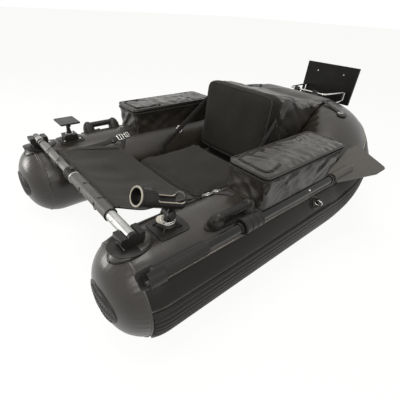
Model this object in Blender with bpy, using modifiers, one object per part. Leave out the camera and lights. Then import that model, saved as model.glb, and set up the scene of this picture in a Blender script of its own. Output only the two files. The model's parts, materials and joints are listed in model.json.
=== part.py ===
"""Float tube (belly boat): a U-shaped inflated hull with seat, side bags, oars and mounts.

Frame: X across the boat, -Y towards the open bow, +Y towards the stern, Z up from the floor.
All lengths are in metres and all angles in degrees.
"""

from math import acos, atan2, cos, degrees, pi, radians, sin, sqrt

import bmesh
import bpy
from mathutils import Matrix, Vector

# Shared fits and mesh fineness
GAP = 0.0003
TUBE_SIDES = 40
PATCH_STEPS = 96
ROUND_STEPS = 20
MERGE = 0.00001
CUSHION_CUTS = 4
BEND_STEPS = 4
WIRE_SIDES = 7
CUT_OVERRUN = 0.004

# Hull
HULL_LENGTH = 1.70
HULL_WIDTH = 1.20
TUBE_DIAMETER = 0.345
STERN_DIAMETER = 0.382
STERN_RISE = 0.137
STERN_CORNER_SHARE = 0.8187
RISE_RUN_SHARE = 0.3114
DOME_LENGTH = 0.143
DOME_FULLNESS_SHARE = 0.76
FLOOR_FLAT = 0.0035
LEVEL_RUN = 0.012
STRAIGHT_SHARES = (0.40, 0.75)
STERN_CORNER_STEPS = 10

# Rubbing band along the outer side of the hull
BAND_START_SHARE = 0.088
BAND_TOP_ANGLE = 15.0
BAND_BOTTOM_ANGLE = -35.0
BAND_THICKNESS = 0.0045
BAND_STEPS = 6
BAND_GAP = 0.0008

# Rubber patches that carry the fittings
PATCH_THICKNESS = 0.003
PATCH_GAP = 0.0004
SQUARE_PATCH_LENGTH = 0.112
SQUARE_PATCH_WIDTH = 0.098
SQUARE_PATCH_CORNER = 0.012

# Spreader bar across the bow
BAR_FROM_TIP = 0.115
BAR_LIFT = 0.030
BAR_END_OVERHANG = 0.0245
BAR_INNER_RADIUS = 0.0160
BAR_OUTER_RADIUS = 0.0180
BAR_INNER_OVERLAP = 0.15
BAR_CLAMP_RADIUS = 0.0250
BAR_CLAMP_LENGTH = 0.050
BAR_CLAMP_LUG = 0.012
BAR_LUG_LENGTH = 0.030
BAR_SLEEVE_RADIUS = 0.0215
BAR_SLEEVE_FROM_BRACKET = 0.092
BAR_PLUG_LENGTH = 0.012
BAR_PLUG_STEM = 0.015
BRACKET_RADIUS = 0.038
BRACKET_LENGTH = 0.050
BRACKET_LIP = 0.010
BRACKET_FOOT_ANGLE = 40.0
BRACKET_STEPS = 6
BRACKET_PATCH_LENGTH = 0.140
BRACKET_PATCH_WIDTH = 0.110

# Seat
DECK_THICKNESS = 0.008
DECK_FRONT_FROM_TIP = 0.500
DECK_BACK_FROM_STERN = 0.550
CUSHION_THICKNESS = 0.054
CUSHION_BACK_FROM_STERN = 0.769
CUSHION_SIDE_GAP = 0.006
CUSHION_CROWN = 0.014
CUSHION_PINCH = 0.010
BACK_SIDE_GAP = 0.020
BACK_HEIGHT = 0.375
BACK_THICKNESS = 0.070
BACK_LEAN = 5.6
BACK_CROWN = 0.010
BACK_PINCH = 0.003
BACK_LIFT = 0.008
BACK_HINGE_OFFSET = 0.004
REAR_BAG_SIDE_GAP = 0.030
REAR_BAG_TOP = 0.585
REAR_BAG_DRAPE = 0.022
REAR_BAG_GAP = 0.004

# Fabric apron between the bar and the seat
APRON_THICKNESS = 0.002
APRON_HALF_WIDTH = 0.300
APRON_SAG = 0.040
APRON_WALL_GAP = 0.0012
APRON_BAR_GAP = 0.002
APRON_DROP = 0.015
APRON_COLUMNS = 14
APRON_ROWS = 11

# Side bags
BAG_INNER_FROM_AXIS = 0.084
BAG_WIDTH = 0.190
BAG_FRONT_FROM_TIP = 0.578
BAG_BACK_FROM_STERN = 0.582
BAG_DROP = 0.030
BAG_RISE = 0.094
BAG_WALL = 0.004
BAG_FLOOR = 0.0145
BAG_CORNER = 0.026
BAG_LID_THICKNESS = 0.011
BAG_LID_CROWN = 0.007
PULLER_LENGTH = 0.030
PULLER_HEIGHT = 0.010
PULLER_THICKNESS = 0.003
PULLER_INSET = 0.035

# Webbing
STRAP_WIDTH = 0.025
STRAP_THICKNESS = 0.0022
BACK_STRAP_DROP = 0.115
BACK_STRAP_REACH = 0.300
BACK_STRAP_FOOT = 0.072
BACK_STRAP_GAP = 0.0024
SIDE_STRAP_ANGLE = 125.0
SIDE_STRAP_FRONT = 0.235
SIDE_STRAP_LENGTH = 0.300
BUCKLE_LENGTH = 0.055
BUCKLE_WIDTH = 0.034
BUCKLE_THICKNESS = 0.012
BUCKLE_PLACE_SHARE = 0.8

# Oars
OAR_ANGLE = 50.0
OAR_STANDOFF = 0.0660
LEFT_OAR_ANGLE = 22.5
LEFT_OAR_STANDOFF = 0.0530
OAR_RISE = 3.0
OAR_SHAFT_RADIUS = 0.0140
OAR_GRIP_RADIUS = 0.0220
OAR_GRIP_LENGTH = 0.175
OAR_FRONT_FROM_TIP = 0.100
OAR_GRIP_CAP = 0.010
OAR_GRIP_END_RADIUS = 0.0176
OAR_SHAFT_END_BEFORE_CORNER = 0.169
OAR_SOCKET_RADIUS = 0.0185
OAR_SOCKET_LENGTH = 0.130
BLADE_START_BEFORE_CORNER = 0.231
BLADE_FULL_PAST_CORNER = 0.006
BLADE_END_PAST_CORNER = 0.091
BLADE_HALF_WIDTH = 0.082
BLADE_ROOT_HALF_WIDTH = 0.026
BLADE_CORNER = 0.016
BLADE_THICKNESS = 0.006
BLADE_TILT = 20.0
BLADE_RIB_RADIUS = 0.009
BLADE_RIB_LENGTH = 0.075
OARLOCK_FROM_TIP = 0.458
OARLOCK_LENGTH = 0.080
OARLOCK_RADIUS = 0.0260
OARLOCK_PIN_RADIUS = 0.0080
OARLOCK_PIN_FLOOR = 0.005
OARLOCK_BOSS_RADIUS = 0.0150
OARLOCK_BOSS_FOOT_RADIUS = 0.0180
OARLOCK_NECK = 0.0125
OARLOCK_PATCH_RADIUS = 0.0195
CLIP_FROM_TIP = 0.104
CLIP_LENGTH = 0.046
CLIP_WALL = 0.008
CLIP_REACH = 0.012
CLIP_PATCH_WIDTH = 0.052
CLIP_PATCH_LENGTH = 0.066

# Carrying handles
HANDLE_FROM_OARLOCK = 0.0015
HANDLE_FROM_TIP = 0.455
HANDLE_LENGTH = 0.235
HANDLE_WIDTH = 0.056
HANDLE_GRIP_RADIUS = 0.0140
HANDLE_GRIP_LIFT = 0.034
HANDLE_GRIP_LENGTH = 0.133
HANDLE_HOOD_LENGTH = 0.062
HANDLE_HOOD_WIDTH = 0.052
HANDLE_HOOD_HEIGHT = 0.052
HOOD_PLACE_SHARE = 0.75

# Sonar mount on the left tube
FINDER_FROM_TIP = 0.258
FINDER_BASE_LENGTH = 0.062
FINDER_BASE_WIDTH = 0.052
FINDER_BASE_HEIGHT = 0.022
FINDER_POST_RADIUS = 0.0125
FINDER_POST_HEIGHT = 0.046
FINDER_NECK_HEIGHTS_SHARES = (0.3, 0.6)
FINDER_WAIST_RADIUS = 0.0100
FINDER_PLATE_LIFT = 0.0119
FINDER_HEAD_RADIUS = 0.0085
FINDER_HEAD_WIDTH = 0.024
FINDER_PLATE_WIDTH = 0.108
FINDER_PLATE_LENGTH = 0.090
FINDER_PLATE_THICKNESS = 0.006
FINDER_EAR_THICKNESS = 0.006

# Rod holder on the right tube
ROD_FROM_TIP = 0.245
ROD_BASE_RADIUS = 0.030
ROD_BASE_TOP_RADIUS = 0.0225
ROD_BASE_HEIGHT = 0.020
ROD_RING_RADIUS = 0.021
ROD_RING_WIRE = 0.0025
ROD_POST_RADIUS = 0.0120
ROD_NECK_RADIUS = 0.0084
ROD_POST_HEIGHT = 0.028
ROD_HEAD_RADIUS = 0.0125
ROD_HEAD_WIDTH = 0.020
ROD_TILT = 25.0
ROD_BARREL_RADIUS = 0.029
ROD_BORE_RADIUS = 0.0235
ROD_BARREL_FRONT = 0.130
ROD_BARREL_BACK = 0.035
ROD_SOLID_FRONT = 0.050
ROD_AXIS_LIFT = 0.043
ROD_EAR_THICKNESS = 0.006
ROD_KNOB_RADIUS = 0.016
ROD_KNOB_FACE_RADIUS = 0.0112
ROD_KNOB_LENGTH = 0.014

# Valves on the back of the hull
VALVE_X = 0.045
VALVE_ANGLE = -52.0
VALVE_RADIUS = 0.027
VALVE_NECK_RADIUS = 0.0231
VALVE_HEIGHT = 0.006
VALVE_CAP_RADIUS = 0.021
VALVE_CAP_FACE_RADIUS = 0.018
VALVE_CAP_EDGE = 0.003
VALVE_CAP_HEIGHT = 0.010

# Towing rings
RING_RADIUS = 0.020
RING_WIRE = 0.0025
RING_PATCH_RADIUS = 0.030
RING_TAB_WIDTH = 0.020
SIDE_RING_ANGLE = 30.0
SIDE_RING_FROM_STERN = 0.815

# Motor mount behind the stern
BOARD_WIDTH = 0.356
BOARD_HEIGHT = 0.222
BOARD_THICKNESS = 0.018
BOARD_BEHIND_STERN = 0.145
BOARD_BOTTOM = 0.425
BOARD_LEAN = 4.5
FRAME_WIRE = 0.0045
FRAME_HALF_WIDTH = 0.118
FRAME_LEG_HALF_WIDTH = 0.142
FRAME_STANDOFF = 0.020
FRAME_TOP_ANGLE = 62.0
FRAME_LOW_ANGLE = 30.0
FRAME_TOP_BOLT = 0.077
FRAME_LOW_BOLT = 0.026
FRAME_SQUARE_END = 0.030
FRAME_BEND = 0.018
SADDLE_X = 0.064
SADDLE_WIDTH = 0.026
SADDLE_LENGTH = 0.034
SADDLE_MARGIN = 0.006
FRAME_ROD_END = 0.010

# Places that follow from the sizes above
TUBE_RADIUS = TUBE_DIAMETER / 2
STERN_RADIUS = STERN_DIAMETER / 2
SIDE_X = HULL_WIDTH / 2 - TUBE_RADIUS
WELL_HALF_WIDTH = SIDE_X - TUBE_RADIUS
STERN_CORNER_RADIUS = SIDE_X * STERN_CORNER_SHARE
RISE_LENGTH = STERN_CORNER_RADIUS * (1 + RISE_RUN_SHARE)
AXIS_Z = TUBE_RADIUS - FLOOR_FLAT
LEAN = radians(BOARD_LEAN)
OVERHANG = BOARD_BEHIND_STERN + BOARD_THICKNESS * cos(LEAN) + BOARD_HEIGHT * sin(LEAN)
TIP_Y = -(HULL_LENGTH + OVERHANG) / 2
STERN_END_Y = TIP_Y + HULL_LENGTH
STERN_Y = STERN_END_Y - STERN_RADIUS
STERN_Z = STERN_RADIUS - FLOOR_FLAT + STERN_RISE
CORNER_X = SIDE_X - STERN_CORNER_RADIUS
CORNER_Y = STERN_Y - STERN_CORNER_RADIUS
RISE_Y = STERN_Y - RISE_LENGTH
BAR_Y = TIP_Y + BAR_FROM_TIP
BAR_HALF_LENGTH = SIDE_X + BAR_END_OVERHANG
BAR_SLEEVE_END = SIDE_X - BRACKET_LENGTH / 2 - BAR_SLEEVE_FROM_BRACKET
BAR_Z = AXIS_Z + TUBE_RADIUS + BAR_LIFT
BAR_WALL_RADIUS = BAR_INNER_RADIUS + GAP
DECK_TOP = AXIS_Z + DECK_THICKNESS / 2
DECK_FRONT_Y = TIP_Y + DECK_FRONT_FROM_TIP
DECK_LENGTH = STERN_END_Y - DECK_BACK_FROM_STERN - DECK_FRONT_Y
CUSHION_FRONT_Y = DECK_FRONT_Y + CUSHION_SIDE_GAP
CUSHION_BACK_Y = STERN_END_Y - CUSHION_BACK_FROM_STERN
CUSHION_LENGTH = CUSHION_BACK_Y - CUSHION_FRONT_Y
CUSHION_TOP = DECK_TOP + GAP + CUSHION_THICKNESS
BACK_WIDTH = 2 * (WELL_HALF_WIDTH - BACK_SIDE_GAP)
REAR_BAG_WIDTH = 2 * (WELL_HALF_WIDTH - REAR_BAG_SIDE_GAP)
BACK_PIVOT_Y = CUSHION_BACK_Y + BACK_HINGE_OFFSET
BACK_PIVOT_Z = CUSHION_TOP + BACK_LIFT
OARLOCK_Y = TIP_Y + OARLOCK_FROM_TIP
RIGHT_ANGLE = 90.0
RIGHT_OAR = (OAR_ANGLE, OAR_STANDOFF, BLADE_TILT)
BLADE_END_Y = CORNER_Y + BLADE_END_PAST_CORNER
BLADE_END_RISE = (BLADE_END_Y - OARLOCK_Y) * sin(radians(OAR_RISE))
BLADE_END_X = (TUBE_RADIUS + OAR_STANDOFF + BLADE_END_RISE) * cos(radians(OAR_ANGLE))
LEFT_BLADE_X = (TUBE_RADIUS + LEFT_OAR_STANDOFF + BLADE_END_RISE) * cos(radians(LEFT_OAR_ANGLE))
BLADE_REACH = BLADE_END_X + BLADE_HALF_WIDTH * cos(radians(BLADE_TILT))
LEFT_BLADE_REACH = BLADE_REACH - LEFT_BLADE_X - BLADE_THICKNESS / 3
LEFT_BLADE_TILT = degrees(acos(LEFT_BLADE_REACH / BLADE_HALF_WIDTH))
LEFT_OAR = (LEFT_OAR_ANGLE, LEFT_OAR_STANDOFF, LEFT_BLADE_TILT)
HANDLE_REACH = OARLOCK_PATCH_RADIUS + HANDLE_WIDTH / 2 + HANDLE_FROM_OARLOCK
HANDLE_ANGLE = OAR_ANGLE + degrees(HANDLE_REACH / TUBE_RADIUS)
OAR_FRONT_Y = TIP_Y + OAR_FRONT_FROM_TIP
BAG_LENGTH = HULL_LENGTH - BAG_FRONT_FROM_TIP - BAG_BACK_FROM_STERN
BAG_INNER_X = SIDE_X - BAG_INNER_FROM_AXIS
BAG_MID_X = BAG_INNER_X + BAG_WIDTH / 2
BAG_MID_Y = TIP_Y + BAG_FRONT_FROM_TIP + BAG_LENGTH / 2
BAG_BASE_Z = AXIS_Z + TUBE_RADIUS - BAG_DROP
BAG_TOP_Z = AXIS_Z + TUBE_RADIUS + BAG_RISE
BAG_FLOOR_Z = AXIS_Z + TUBE_RADIUS + BAG_FLOOR
FINDER_Y = TIP_Y + FINDER_FROM_TIP
ROD_Y = TIP_Y + ROD_FROM_TIP
SIDE_RING_Y = STERN_END_Y - SIDE_RING_FROM_STERN
BOARD_Y = STERN_END_Y + BOARD_BEHIND_STERN
FRAME_DISTANCE = STERN_RADIUS + FRAME_STANDOFF

# Finishes: base colour, roughness, metallic
FINISHES = {
    "hull_pvc": ((0.055, 0.052, 0.048), 0.45, 0.0),
    "strake_rubber": ((0.020, 0.020, 0.019), 0.55, 0.0),
    "patch_rubber": ((0.035, 0.034, 0.032), 0.40, 0.0),
    "bar_aluminium": ((0.60, 0.60, 0.60), 0.35, 1.0),
    "bar_grey": ((0.17, 0.17, 0.17), 0.45, 0.2),
    "black_plastic": ((0.018, 0.018, 0.018), 0.42, 0.0),
    "seat_fabric": ((0.050, 0.051, 0.049), 0.85, 0.0),
    "back_fabric": ((0.018, 0.018, 0.017), 0.85, 0.0),
    "apron_fabric": ((0.050, 0.051, 0.047), 0.80, 0.0),
    "bag_nylon": ((0.045, 0.043, 0.040), 0.38, 0.0),
    "webbing": ((0.030, 0.029, 0.028), 0.75, 0.0),
    "stainless": ((0.70, 0.69, 0.67), 0.25, 1.0),
    "oar_shaft": ((0.025, 0.025, 0.025), 0.25, 0.0),
    "oar_grip": ((0.045, 0.044, 0.042), 0.60, 0.0),
    "blade_plastic": ((0.080, 0.080, 0.080), 0.50, 0.0),
    "cream_plastic": ((0.80, 0.76, 0.68), 0.40, 0.0),
    "board_black": ((0.012, 0.011, 0.011), 0.50, 0.0),
}


def clear_scene():
    """Remove every object of the open scene."""
    for old in list(bpy.data.objects):
        bpy.data.objects.remove(old, do_unlink=True)


def new_collection(name):
    """Return a collection of this name, linked to the scene."""
    collection = bpy.data.collections.new(name)
    bpy.context.scene.collection.children.link(collection)
    return collection


clear_scene()
PARTS = new_collection("float_tube")
CUTTERS = new_collection("cutters")


def material(slot):
    """Return the Principled material of a finish."""
    found = bpy.data.materials.get(slot)
    if found:
        return found
    colour, roughness, metallic = FINISHES[slot]
    made = bpy.data.materials.new(slot)
    made.use_nodes = True
    shader = made.node_tree.nodes["Principled BSDF"]
    shader.inputs["Base Color"].default_value = (*colour, 1.0)
    shader.inputs["Roughness"].default_value = roughness
    shader.inputs["Metallic"].default_value = metallic
    return made


def place(obj, matrix, slot):
    """Put an object in the parts collection, at its place and in its finish."""
    PARTS.objects.link(obj)
    obj.matrix_world = matrix
    obj.data.materials.append(material(slot))
    return obj


def as_cutter(obj):
    """Move an object to the cutters collection and hide it from the render."""
    for held in list(obj.users_collection):
        held.objects.unlink(obj)
    CUTTERS.objects.link(obj)
    obj.hide_render = True
    obj.display_type = "WIRE"
    return obj


def smooth(obj, angle=40.0):
    """Shade a round piece smooth and keep its hard edges."""
    obj.data.shade_smooth()
    obj.data.set_sharp_from_angle(angle=radians(angle))
    return obj


def boolean(target, tool, operation):
    """Cut, join or intersect a mesh with another."""
    modifier = target.modifiers.new(operation.title(), "BOOLEAN")
    modifier.operation = operation
    modifier.solver = "EXACT"
    modifier.object = as_cutter(tool)
    return target


def cut(target, tool):
    """Take a cutter out of a mesh."""
    return boolean(target, tool, "DIFFERENCE")


def join(target, tool):
    """Join a second solid to a mesh."""
    return boolean(target, tool, "UNION")


def evaluated_mesh(obj):
    """Return a copy of an object's mesh with its modifiers applied."""
    bpy.context.view_layer.update()
    depsgraph = bpy.context.evaluated_depsgraph_get()
    return bpy.data.meshes.new_from_object(obj.evaluated_get(depsgraph), depsgraph=depsgraph)


def to_mesh(obj):
    """Turn a curve object into a mesh object with welded caps."""
    mesh = evaluated_mesh(obj)
    shape = bmesh.new()
    shape.from_mesh(mesh)
    bmesh.ops.remove_doubles(shape, verts=shape.verts, dist=MERGE)
    bmesh.ops.recalc_face_normals(shape, faces=shape.faces)
    shape.to_mesh(mesh)
    shape.free()
    name = obj.name
    matrix = obj.matrix_world.copy()
    homes = list(obj.users_collection)
    obj.name = name + "_curve"
    made = bpy.data.objects.new(name, mesh)
    for home in homes:
        home.objects.link(made)
    made.matrix_world = matrix
    bpy.data.objects.remove(obj, do_unlink=True)
    return made


def mirrored(source, name):
    """Add the left-hand copy of a right-hand piece, mirrored about X = 0."""
    mesh = evaluated_mesh(source)
    mesh.name = name
    flip = Matrix.Scale(-1, 4, Vector((1, 0, 0)))
    shape = bmesh.new()
    shape.from_mesh(mesh)
    bmesh.ops.transform(shape, matrix=flip, verts=shape.verts)
    bmesh.ops.reverse_faces(shape, faces=shape.faces)
    shape.to_mesh(mesh)
    shape.free()
    copy = bpy.data.objects.new(name, mesh)
    PARTS.objects.link(copy)
    copy.matrix_world = flip @ source.matrix_world @ flip
    return copy


def box(name, size, matrix, slot, bevel=0.0):
    """Add a box, centred on its place, with rounded edges if asked."""
    shape = bmesh.new()
    bmesh.ops.create_cube(shape, size=1.0, matrix=Matrix.Diagonal((*size, 1.0)))
    mesh = bpy.data.meshes.new(name)
    shape.to_mesh(mesh)
    shape.free()
    obj = place(bpy.data.objects.new(name, mesh), matrix, slot)
    if bevel:
        rounding = obj.modifiers.new("Rounding", "BEVEL")
        rounding.width = bevel
        rounding.segments = 2
    return obj


def cylinder(name, radius, height, matrix, slot, steps=ROUND_STEPS):
    """Add a cylinder along local Z, centred on its place."""
    shape = bmesh.new()
    bmesh.ops.create_cone(
        shape, cap_ends=True, segments=steps, radius1=radius, radius2=radius, depth=height
    )
    mesh = bpy.data.meshes.new(name)
    shape.to_mesh(mesh)
    shape.free()
    return smooth(place(bpy.data.objects.new(name, mesh), matrix, slot))


def turned(name, profile, matrix, slot, closed=False, steps=ROUND_STEPS):
    """Turn a profile of (radius, height) points about local Z."""
    shape = bmesh.new()
    points = [shape.verts.new((radius, 0.0, height)) for radius, height in profile]
    for start, end in zip(points, points[1:]):
        shape.edges.new((start, end))
    if closed:
        shape.edges.new((points[-1], points[0]))
    mesh = bpy.data.meshes.new(name)
    shape.to_mesh(mesh)
    shape.free()
    obj = place(bpy.data.objects.new(name, mesh), matrix, slot)
    turn = obj.modifiers.new("Turn", "SCREW")
    turn.steps = steps
    turn.render_steps = steps
    turn.use_merge_vertices = True
    turn.merge_threshold = MERGE
    return obj


def ring(name, inner, outer, low, high, matrix, slot, steps=ROUND_STEPS):
    """Add a plain ring about local Z."""
    profile = [(outer, high), (outer, low), (inner, low), (inner, high)]
    return turned(name, profile, matrix, slot, closed=True, steps=steps)


def wire_ring(name, radius, wire, matrix, slot):
    """Add a ring of round wire about local Z."""
    turns = [2 * pi * k / WIRE_SIDES for k in range(WIRE_SIDES)]
    profile = [(radius + wire * cos(a), -wire * sin(a)) for a in turns]
    return turned(name, profile, matrix, slot, closed=True)


def poly_curve(name, points, cyclic, dimensions):
    """Return a curve with one straight-segment spline."""
    curve = bpy.data.curves.new(name, "CURVE")
    curve.dimensions = dimensions
    spline = curve.splines.new("POLY")
    spline.points.add(len(points) - 1)
    for target, point in zip(spline.points, points):
        target.co = (point[0], point[1], point[2] if len(point) > 2 else 0.0, 1.0)
    spline.use_cyclic_u = cyclic
    return curve


def plate(name, outline, thickness, matrix, slot):
    """Add a flat plate with this outline in local XY, its mid-plane at local Z = 0."""
    curve = poly_curve(name, outline, True, "2D")
    curve.fill_mode = "BOTH"
    curve.extrude = thickness / 2
    return to_mesh(place(bpy.data.objects.new(name, curve), matrix, slot))


def rod(name, points, radius, matrix, slot, resolution=2):
    """Add a round wire or tube through these points."""
    curve = poly_curve(name, points, False, "3D")
    curve.bevel_depth = radius
    curve.bevel_resolution = resolution
    curve.use_fill_caps = True
    return to_mesh(place(bpy.data.objects.new(name, curve), matrix, slot))


def arc(centre, radius, start, end, count):
    """Return points along an arc, angles in degrees."""
    angles = [radians(start + (end - start) * k / count) for k in range(count + 1)]
    return [(centre[0] + radius * cos(a), centre[1] + radius * sin(a)) for a in angles]


def rounded_outline(width, length, corner, steps=4):
    """Return the outline of a rectangle with round corners."""
    x, y = width / 2 - corner, length / 2 - corner
    points = []
    for k, (sx, sy) in enumerate(((1, 1), (-1, 1), (-1, -1), (1, -1))):
        points += arc((sx * x, sy * y), corner, 90 * k, 90 * k + 90, steps)
    return points


def oval_outline(width, length, steps=28):
    """Return the outline of an ellipse."""
    turns = [2 * pi * k / steps for k in range(steps)]
    return [(width / 2 * cos(a), length / 2 * sin(a)) for a in turns]


def frame(origin, x_axis, y_axis, z_axis):
    """Return the matrix of a local frame."""
    columns = [Vector(axis) for axis in (x_axis, y_axis, z_axis)]
    matrix = Matrix([[c[row] for c in columns] for row in range(3)]).to_4x4()
    matrix.translation = Vector(origin)
    return matrix


def on_tube(y, angle, distance):
    """Frame on the right tube: local Z radial, local Y astern, local X down the outer side."""
    c, s = cos(radians(angle)), sin(radians(angle))
    origin = (SIDE_X + distance * c, y, AXIS_Z + distance * s)
    return frame(origin, (s, 0, -c), (0, 1, 0), (c, 0, s))


def on_stern(x, angle, distance):
    """Frame on the stern tube's middle: local Z radial, local X across the boat."""
    c, s = cos(radians(angle)), sin(radians(angle))
    origin = (x, STERN_Y + distance * c, STERN_Z + distance * s)
    return frame(origin, (-1, 0, 0), (0, -s, c), (0, c, s))


TUBE_AXIS = frame((SIDE_X, 0, AXIS_Z), (1, 0, 0), (0, 0, 1), (0, -1, 0))
STERN_AXIS = frame((0, STERN_Y, STERN_Z), (0, 1, 0), (0, 0, 1), (1, 0, 0))


def seated(name, outline, seat, fittings, slot, axis=TUBE_AXIS, radius=TUBE_RADIUS):
    """Join fittings to a patch that wraps a tube, then cut the tube's round out of both."""
    reach = max(max(abs(point[0]), abs(point[1])) for point in outline) + CUT_OVERRUN
    along = (axis.inverted() @ seat.translation).z
    top = radius + PATCH_GAP + PATCH_THICKNESS
    base = ring(
        name, radius - CUT_OVERRUN, top, along - reach, along + reach, axis, slot, PATCH_STEPS
    )
    boolean(base, plate(name + "_trim", outline, reach, seat, slot), "INTERSECT")
    for fitting in fittings:
        join(base, fitting)
    middle = axis @ Matrix.Translation((0, 0, along))
    length = 2 * reach + 2 * CUT_OVERRUN
    tool = cylinder(name + "_round", radius + PATCH_GAP, length, middle, slot, PATCH_STEPS)
    return cut(base, tool)


def rise_share(y):
    """Return how far the stern has risen at a station, from 0 to 1."""
    share = min(1.0, max(0.0, (y - RISE_Y) / RISE_LENGTH))
    return share * share * (3 - 2 * share)


def hull_station(x, y):
    """Return a point of the hull's axis and the tube's radius there."""
    share = rise_share(y)
    radius = TUBE_RADIUS + (STERN_RADIUS - TUBE_RADIUS) * share
    return (x, y, radius - FLOOR_FLAT + STERN_RISE * share), radius


def stern_route():
    """Return the hull's axis from the right side, round the stern, to the left side."""
    start = hull_station(SIDE_X, RISE_Y + GAP / 2)
    level = Vector(start[0]) + Vector((0, LEVEL_RUN, 0))
    run = [(SIDE_X, RISE_Y + (CORNER_Y - RISE_Y) * share) for share in STRAIGHT_SHARES]
    run += arc((CORNER_X, CORNER_Y), STERN_CORNER_RADIUS, 0, 90, STERN_CORNER_STEPS)
    right = [start, (tuple(level), start[1])] + [hull_station(x, y) for x, y in run]
    left = [((-x, y, z), radius) for (x, y, z), radius in reversed(right)]
    return right + left


def hull_sweep(name, stations, slot, clearance=0.0):
    """Sweep the round hull section along the stations."""
    curve = poly_curve(name, [point for point, _ in stations], False, "3D")
    curve.twist_mode = "Z_UP"
    curve.bevel_depth = STERN_RADIUS
    curve.bevel_resolution = TUBE_SIDES // 2 - 2
    curve.use_fill_caps = True
    for target, (_, radius) in zip(curve.splines[0].points, stations):
        target.radius = (radius + clearance) / STERN_RADIUS
    swept = to_mesh(place(bpy.data.objects.new(name, curve), Matrix.Identity(4), slot))
    shape = bmesh.new()
    shape.from_mesh(swept.data)
    bmesh.ops.triangulate(shape, faces=shape.faces, quad_method="FIXED")
    shape.to_mesh(swept.data)
    shape.free()
    return swept


def floor_cutter(name):
    """Return the cutter that flattens the hull where it rests on the floor."""
    depth = TUBE_RADIUS
    size = (HULL_WIDTH + depth, HULL_LENGTH + depth, depth)
    middle = (0, TIP_Y + HULL_LENGTH / 2, -depth / 2)
    return box(name, size, Matrix.Translation(middle), "hull_pvc")


def dome_profile(offset):
    """Return the bow dome's profile from its tip to its root."""
    steps = 10
    length = DOME_LENGTH + offset
    radius = TUBE_RADIUS + offset
    root = -TIP_Y - DOME_LENGTH
    points = []
    for k in range(steps + 1):
        turn = pi / 2 * k / steps
        points.append((radius * sin(turn) ** DOME_FULLNESS_SHARE, root + length * cos(turn)))
    points[0] = (0.0, points[0][1])
    return points


def build_hull():
    """Two straight side tubes with bow domes, and the raised stern that joins them."""
    profile = dome_profile(0.0) + [(TUBE_RADIUS, -RISE_Y + GAP / 2), (0.0, -RISE_Y + GAP / 2)]
    right = turned("hull_right_tube", profile, TUBE_AXIS, "hull_pvc", steps=TUBE_SIDES)
    cut(right, floor_cutter("right_floor"))
    mirrored(right, "hull_left_tube")
    stations = stern_route()
    stern = hull_sweep("hull_stern_tube", stations, "hull_pvc")
    cut(stern, floor_cutter("stern_floor"))
    for name in ("hull_right_tube", "hull_left_tube", "hull_stern_tube"):
        smooth(bpy.data.objects[name], 30.0)


def band_outline():
    """Return the section of the rubbing band, measured from the tube's axis."""
    inner = TUBE_RADIUS + BAND_GAP
    outer = inner + BAND_THICKNESS
    front = arc((0, 0), outer, BAND_BOTTOM_ANGLE, BAND_TOP_ANGLE, BAND_STEPS)
    return front + arc((0, 0), inner, BAND_TOP_ANGLE, BAND_BOTTOM_ANGLE, BAND_STEPS)


def build_rubbing_band():
    """The ribbed rubber band that runs round the whole outside of the hull."""
    section = poly_curve("band_section", band_outline(), True, "2D")
    guide = as_cutter(place(bpy.data.objects.new("band_section", section), Matrix(), "strake_rubber"))
    start = (SIDE_X, TIP_Y + HULL_LENGTH * BAND_START_SHARE)
    stations = [hull_station(*start)] + stern_route()
    end = (-SIDE_X, start[1])
    stations.append(hull_station(*end))
    curve = poly_curve("rubbing_band", [point for point, _ in stations], False, "3D")
    curve.twist_mode = "Z_UP"
    curve.bevel_mode = "OBJECT"
    curve.bevel_object = guide
    curve.use_fill_caps = True
    for target, (_, radius) in zip(curve.splines[0].points, stations):
        target.radius = radius / TUBE_RADIUS
    band = place(bpy.data.objects.new("rubbing_band", curve), Matrix.Identity(4), "strake_rubber")
    to_mesh(band)


def across(x, y=BAR_Y, z=BAR_Z):
    """Frame whose local Z runs across the boat, towards the right."""
    return frame((x, y, z), (0, 1, 0), (0, 0, 1), (1, 0, 0))


def bracket_outline(bore):
    """Return the open-topped cradle's outline, seen along the bar."""
    top = BRACKET_LIP
    rim = sqrt(BRACKET_RADIUS**2 - top**2)
    tilt = degrees(atan2(top, rim))
    foot = BAR_LIFT + PATCH_THICKNESS + CUT_OVERRUN
    points = arc((0, 0), BRACKET_RADIUS, tilt, -BRACKET_FOOT_ANGLE, BRACKET_STEPS)
    points += [(BRACKET_RADIUS, -foot), (-BRACKET_RADIUS, -foot)]
    points += arc((0, 0), BRACKET_RADIUS, 180 + BRACKET_FOOT_ANGLE, 180 - tilt, BRACKET_STEPS)
    points += [(-bore, top)]
    points += arc((0, 0), bore, 180, 360, 2 * BRACKET_STEPS)
    points += [(bore, top)]
    return points


def bar_bracket(name, radius):
    """Add an open cradle for a bar of this radius, on its oval patch on the right tube."""
    cradle = plate(
        name + "_cradle", bracket_outline(radius + GAP), BRACKET_LENGTH, across(SIDE_X),
        "black_plastic",
    )
    outline = oval_outline(BRACKET_PATCH_WIDTH, BRACKET_PATCH_LENGTH)
    return seated(name, outline, on_tube(BAR_Y, 90.0, TUBE_RADIUS), [cradle], "black_plastic")


def build_bar_brackets():
    """The two brackets that hold the bar's ends."""
    bar_bracket("bar_bracket_right", BAR_OUTER_RADIUS)
    left = bar_bracket("left_bracket_source", BAR_INNER_RADIUS)
    mirrored(left, "bar_bracket_left")
    bpy.data.objects.remove(left, do_unlink=True)


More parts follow.
